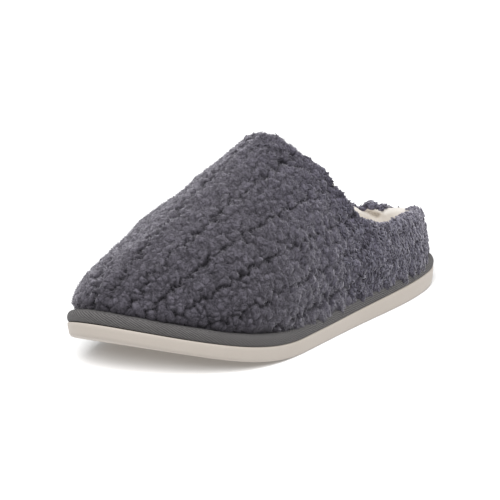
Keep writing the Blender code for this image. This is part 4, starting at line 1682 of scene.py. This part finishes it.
# %% [markdown]
# ## Outsole
# The sole is moulded rubber, off-white, with a plain side that leans in a little towards the
# floor and small roundings at both edges. Underneath, shallow zigzag cuts give it grip; they stop
# short of the edge, as they do on a moulded sole. Bevels and cutters could make it from the solid,
# but a grid gives roundings and cuts of an exact size.

# %% Shape of the outsole
SOLE_STATIONS, SOLE_COLUMNS, SOLE_OVER = 340, 70, 6
SOLE_LEVELS = [
    # inset, surface, lift
    (0.0026, sole_bottom, 0.0), (0.0016, sole_bottom, 0.0003), (0.0010, sole_bottom, 0.0009),
    (0.0007, sole_bottom, 0.0018), (0.0004, sole_bottom, 0.0036), (0.0001, sole_top, -0.0020),
    (0.0000, sole_top, -0.0008), (0.0001, sole_top, -0.0002), (0.0004, sole_top, 0.0),
]
CUT_PITCH, CUT_WIDTH, CUT_DEPTH = 0.0066, 0.0010, 0.0008
ZIGZAG, ZIGZAG_PITCH = 0.0030, 0.0140
TREAD_MARGIN, TREAD_FADE = 0.0075, 0.002


def tread(points, edge):
    """How far the underside is cut in: zigzag lines across the shoe, fading out near the edge."""
    swing = np.abs((points[..., 0] / ZIGZAG_PITCH) % 1 - 0.5) * 2 * ZIGZAG
    line = ((points[..., 1] + swing) / CUT_PITCH) % 1 - 0.5
    cut = np.exp(-((line * CUT_PITCH / CUT_WIDTH) ** 2))
    return CUT_DEPTH * cut * smooth_step(edge, TREAD_MARGIN, TREAD_MARGIN + TREAD_FADE)


def make_outsole():
    """Sections of the sole with its underside cut by the tread.

    A place's distance from the edge is the least of those to the two sides and to the two ends.
    """
    form = sections(SOLE_LEVELS, SOLE_STATIONS, SOLE_OVER, SOLE_COLUMNS)
    under = slice(form.shape[1] - (SOLE_COLUMNS - 1), None)
    share = np.linspace(0, 1, SOLE_COLUMNS + 1)[1:-1]
    width = np.abs(form[:, 0, 0] - form[:, -SOLE_COLUMNS, 0])[:, None]
    end = np.minimum(form[:, 0, 1] - form[-1, 0, 1], form[0, 0, 1] - form[:, 0, 1])[:, None]
    edge = np.minimum(np.minimum(share, 1 - share) * width, end)
    form[:, under, 2] += tread(form[:, under], edge)
    faces, flat = squares(*form.shape[:2], wrap_rows=True)
    mesh = mesh_of("outsole_rubber", form.reshape(-1, 3), [faces], [flat])
    close_ends(mesh)
    return mesh


sole_mesh = make_outsole()
print(f"outsole: cuts {CUT_DEPTH * MM} mm deep, {CUT_PITCH * MM} mm apart")

# %% Outsole
HAZE_SIZE, HAZE_TONE = 0.03, 0.7
SPECK_SIZE, SPECK_TONE = 0.0012, 0.3
MATT_SIZE, MATT_DEPTH, MATT_STRENGTH = 0.0006, 0.00012, 0.35


def rubber_finish():
    """Off-white moulded rubber: a faint cloudiness and a fine matt grain."""
    finish = Finish("sole_rubber", roughness=0.55)
    haze = finish.speckle(HAZE_SIZE, HAZE_TONE, detail=3.0)
    cloud = finish.maths("ADD", haze, finish.speckle(SPECK_SIZE, SPECK_TONE, detail=2.0))
    finish.paint(finish.ramp(cloud, [(0.3, (0.665, 0.596, 0.526)), (0.7, (0.705, 0.635, 0.568))]))
    finish.bump(finish.noise(MATT_SIZE, detail=2.0), MATT_DEPTH, MATT_STRENGTH)
    return finish.material


add_piece("outsole_rubber", sole_mesh, rubber_finish(), "sole_rubber", "outsole")

# %% [markdown]
# ## Sizes
# Dressed, the shoe may stand a little proud of its solids, as pile does, but it keeps their size.
# The last lines print the size of the dressed shoe's box.

# %% Finish
visual_low, visual_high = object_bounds()
visual_sides = [f"{(high - low) * MM:.1f}" for low, high in zip(visual_low, visual_high)]
print("dressed:", " x ".join(visual_sides), "mm")
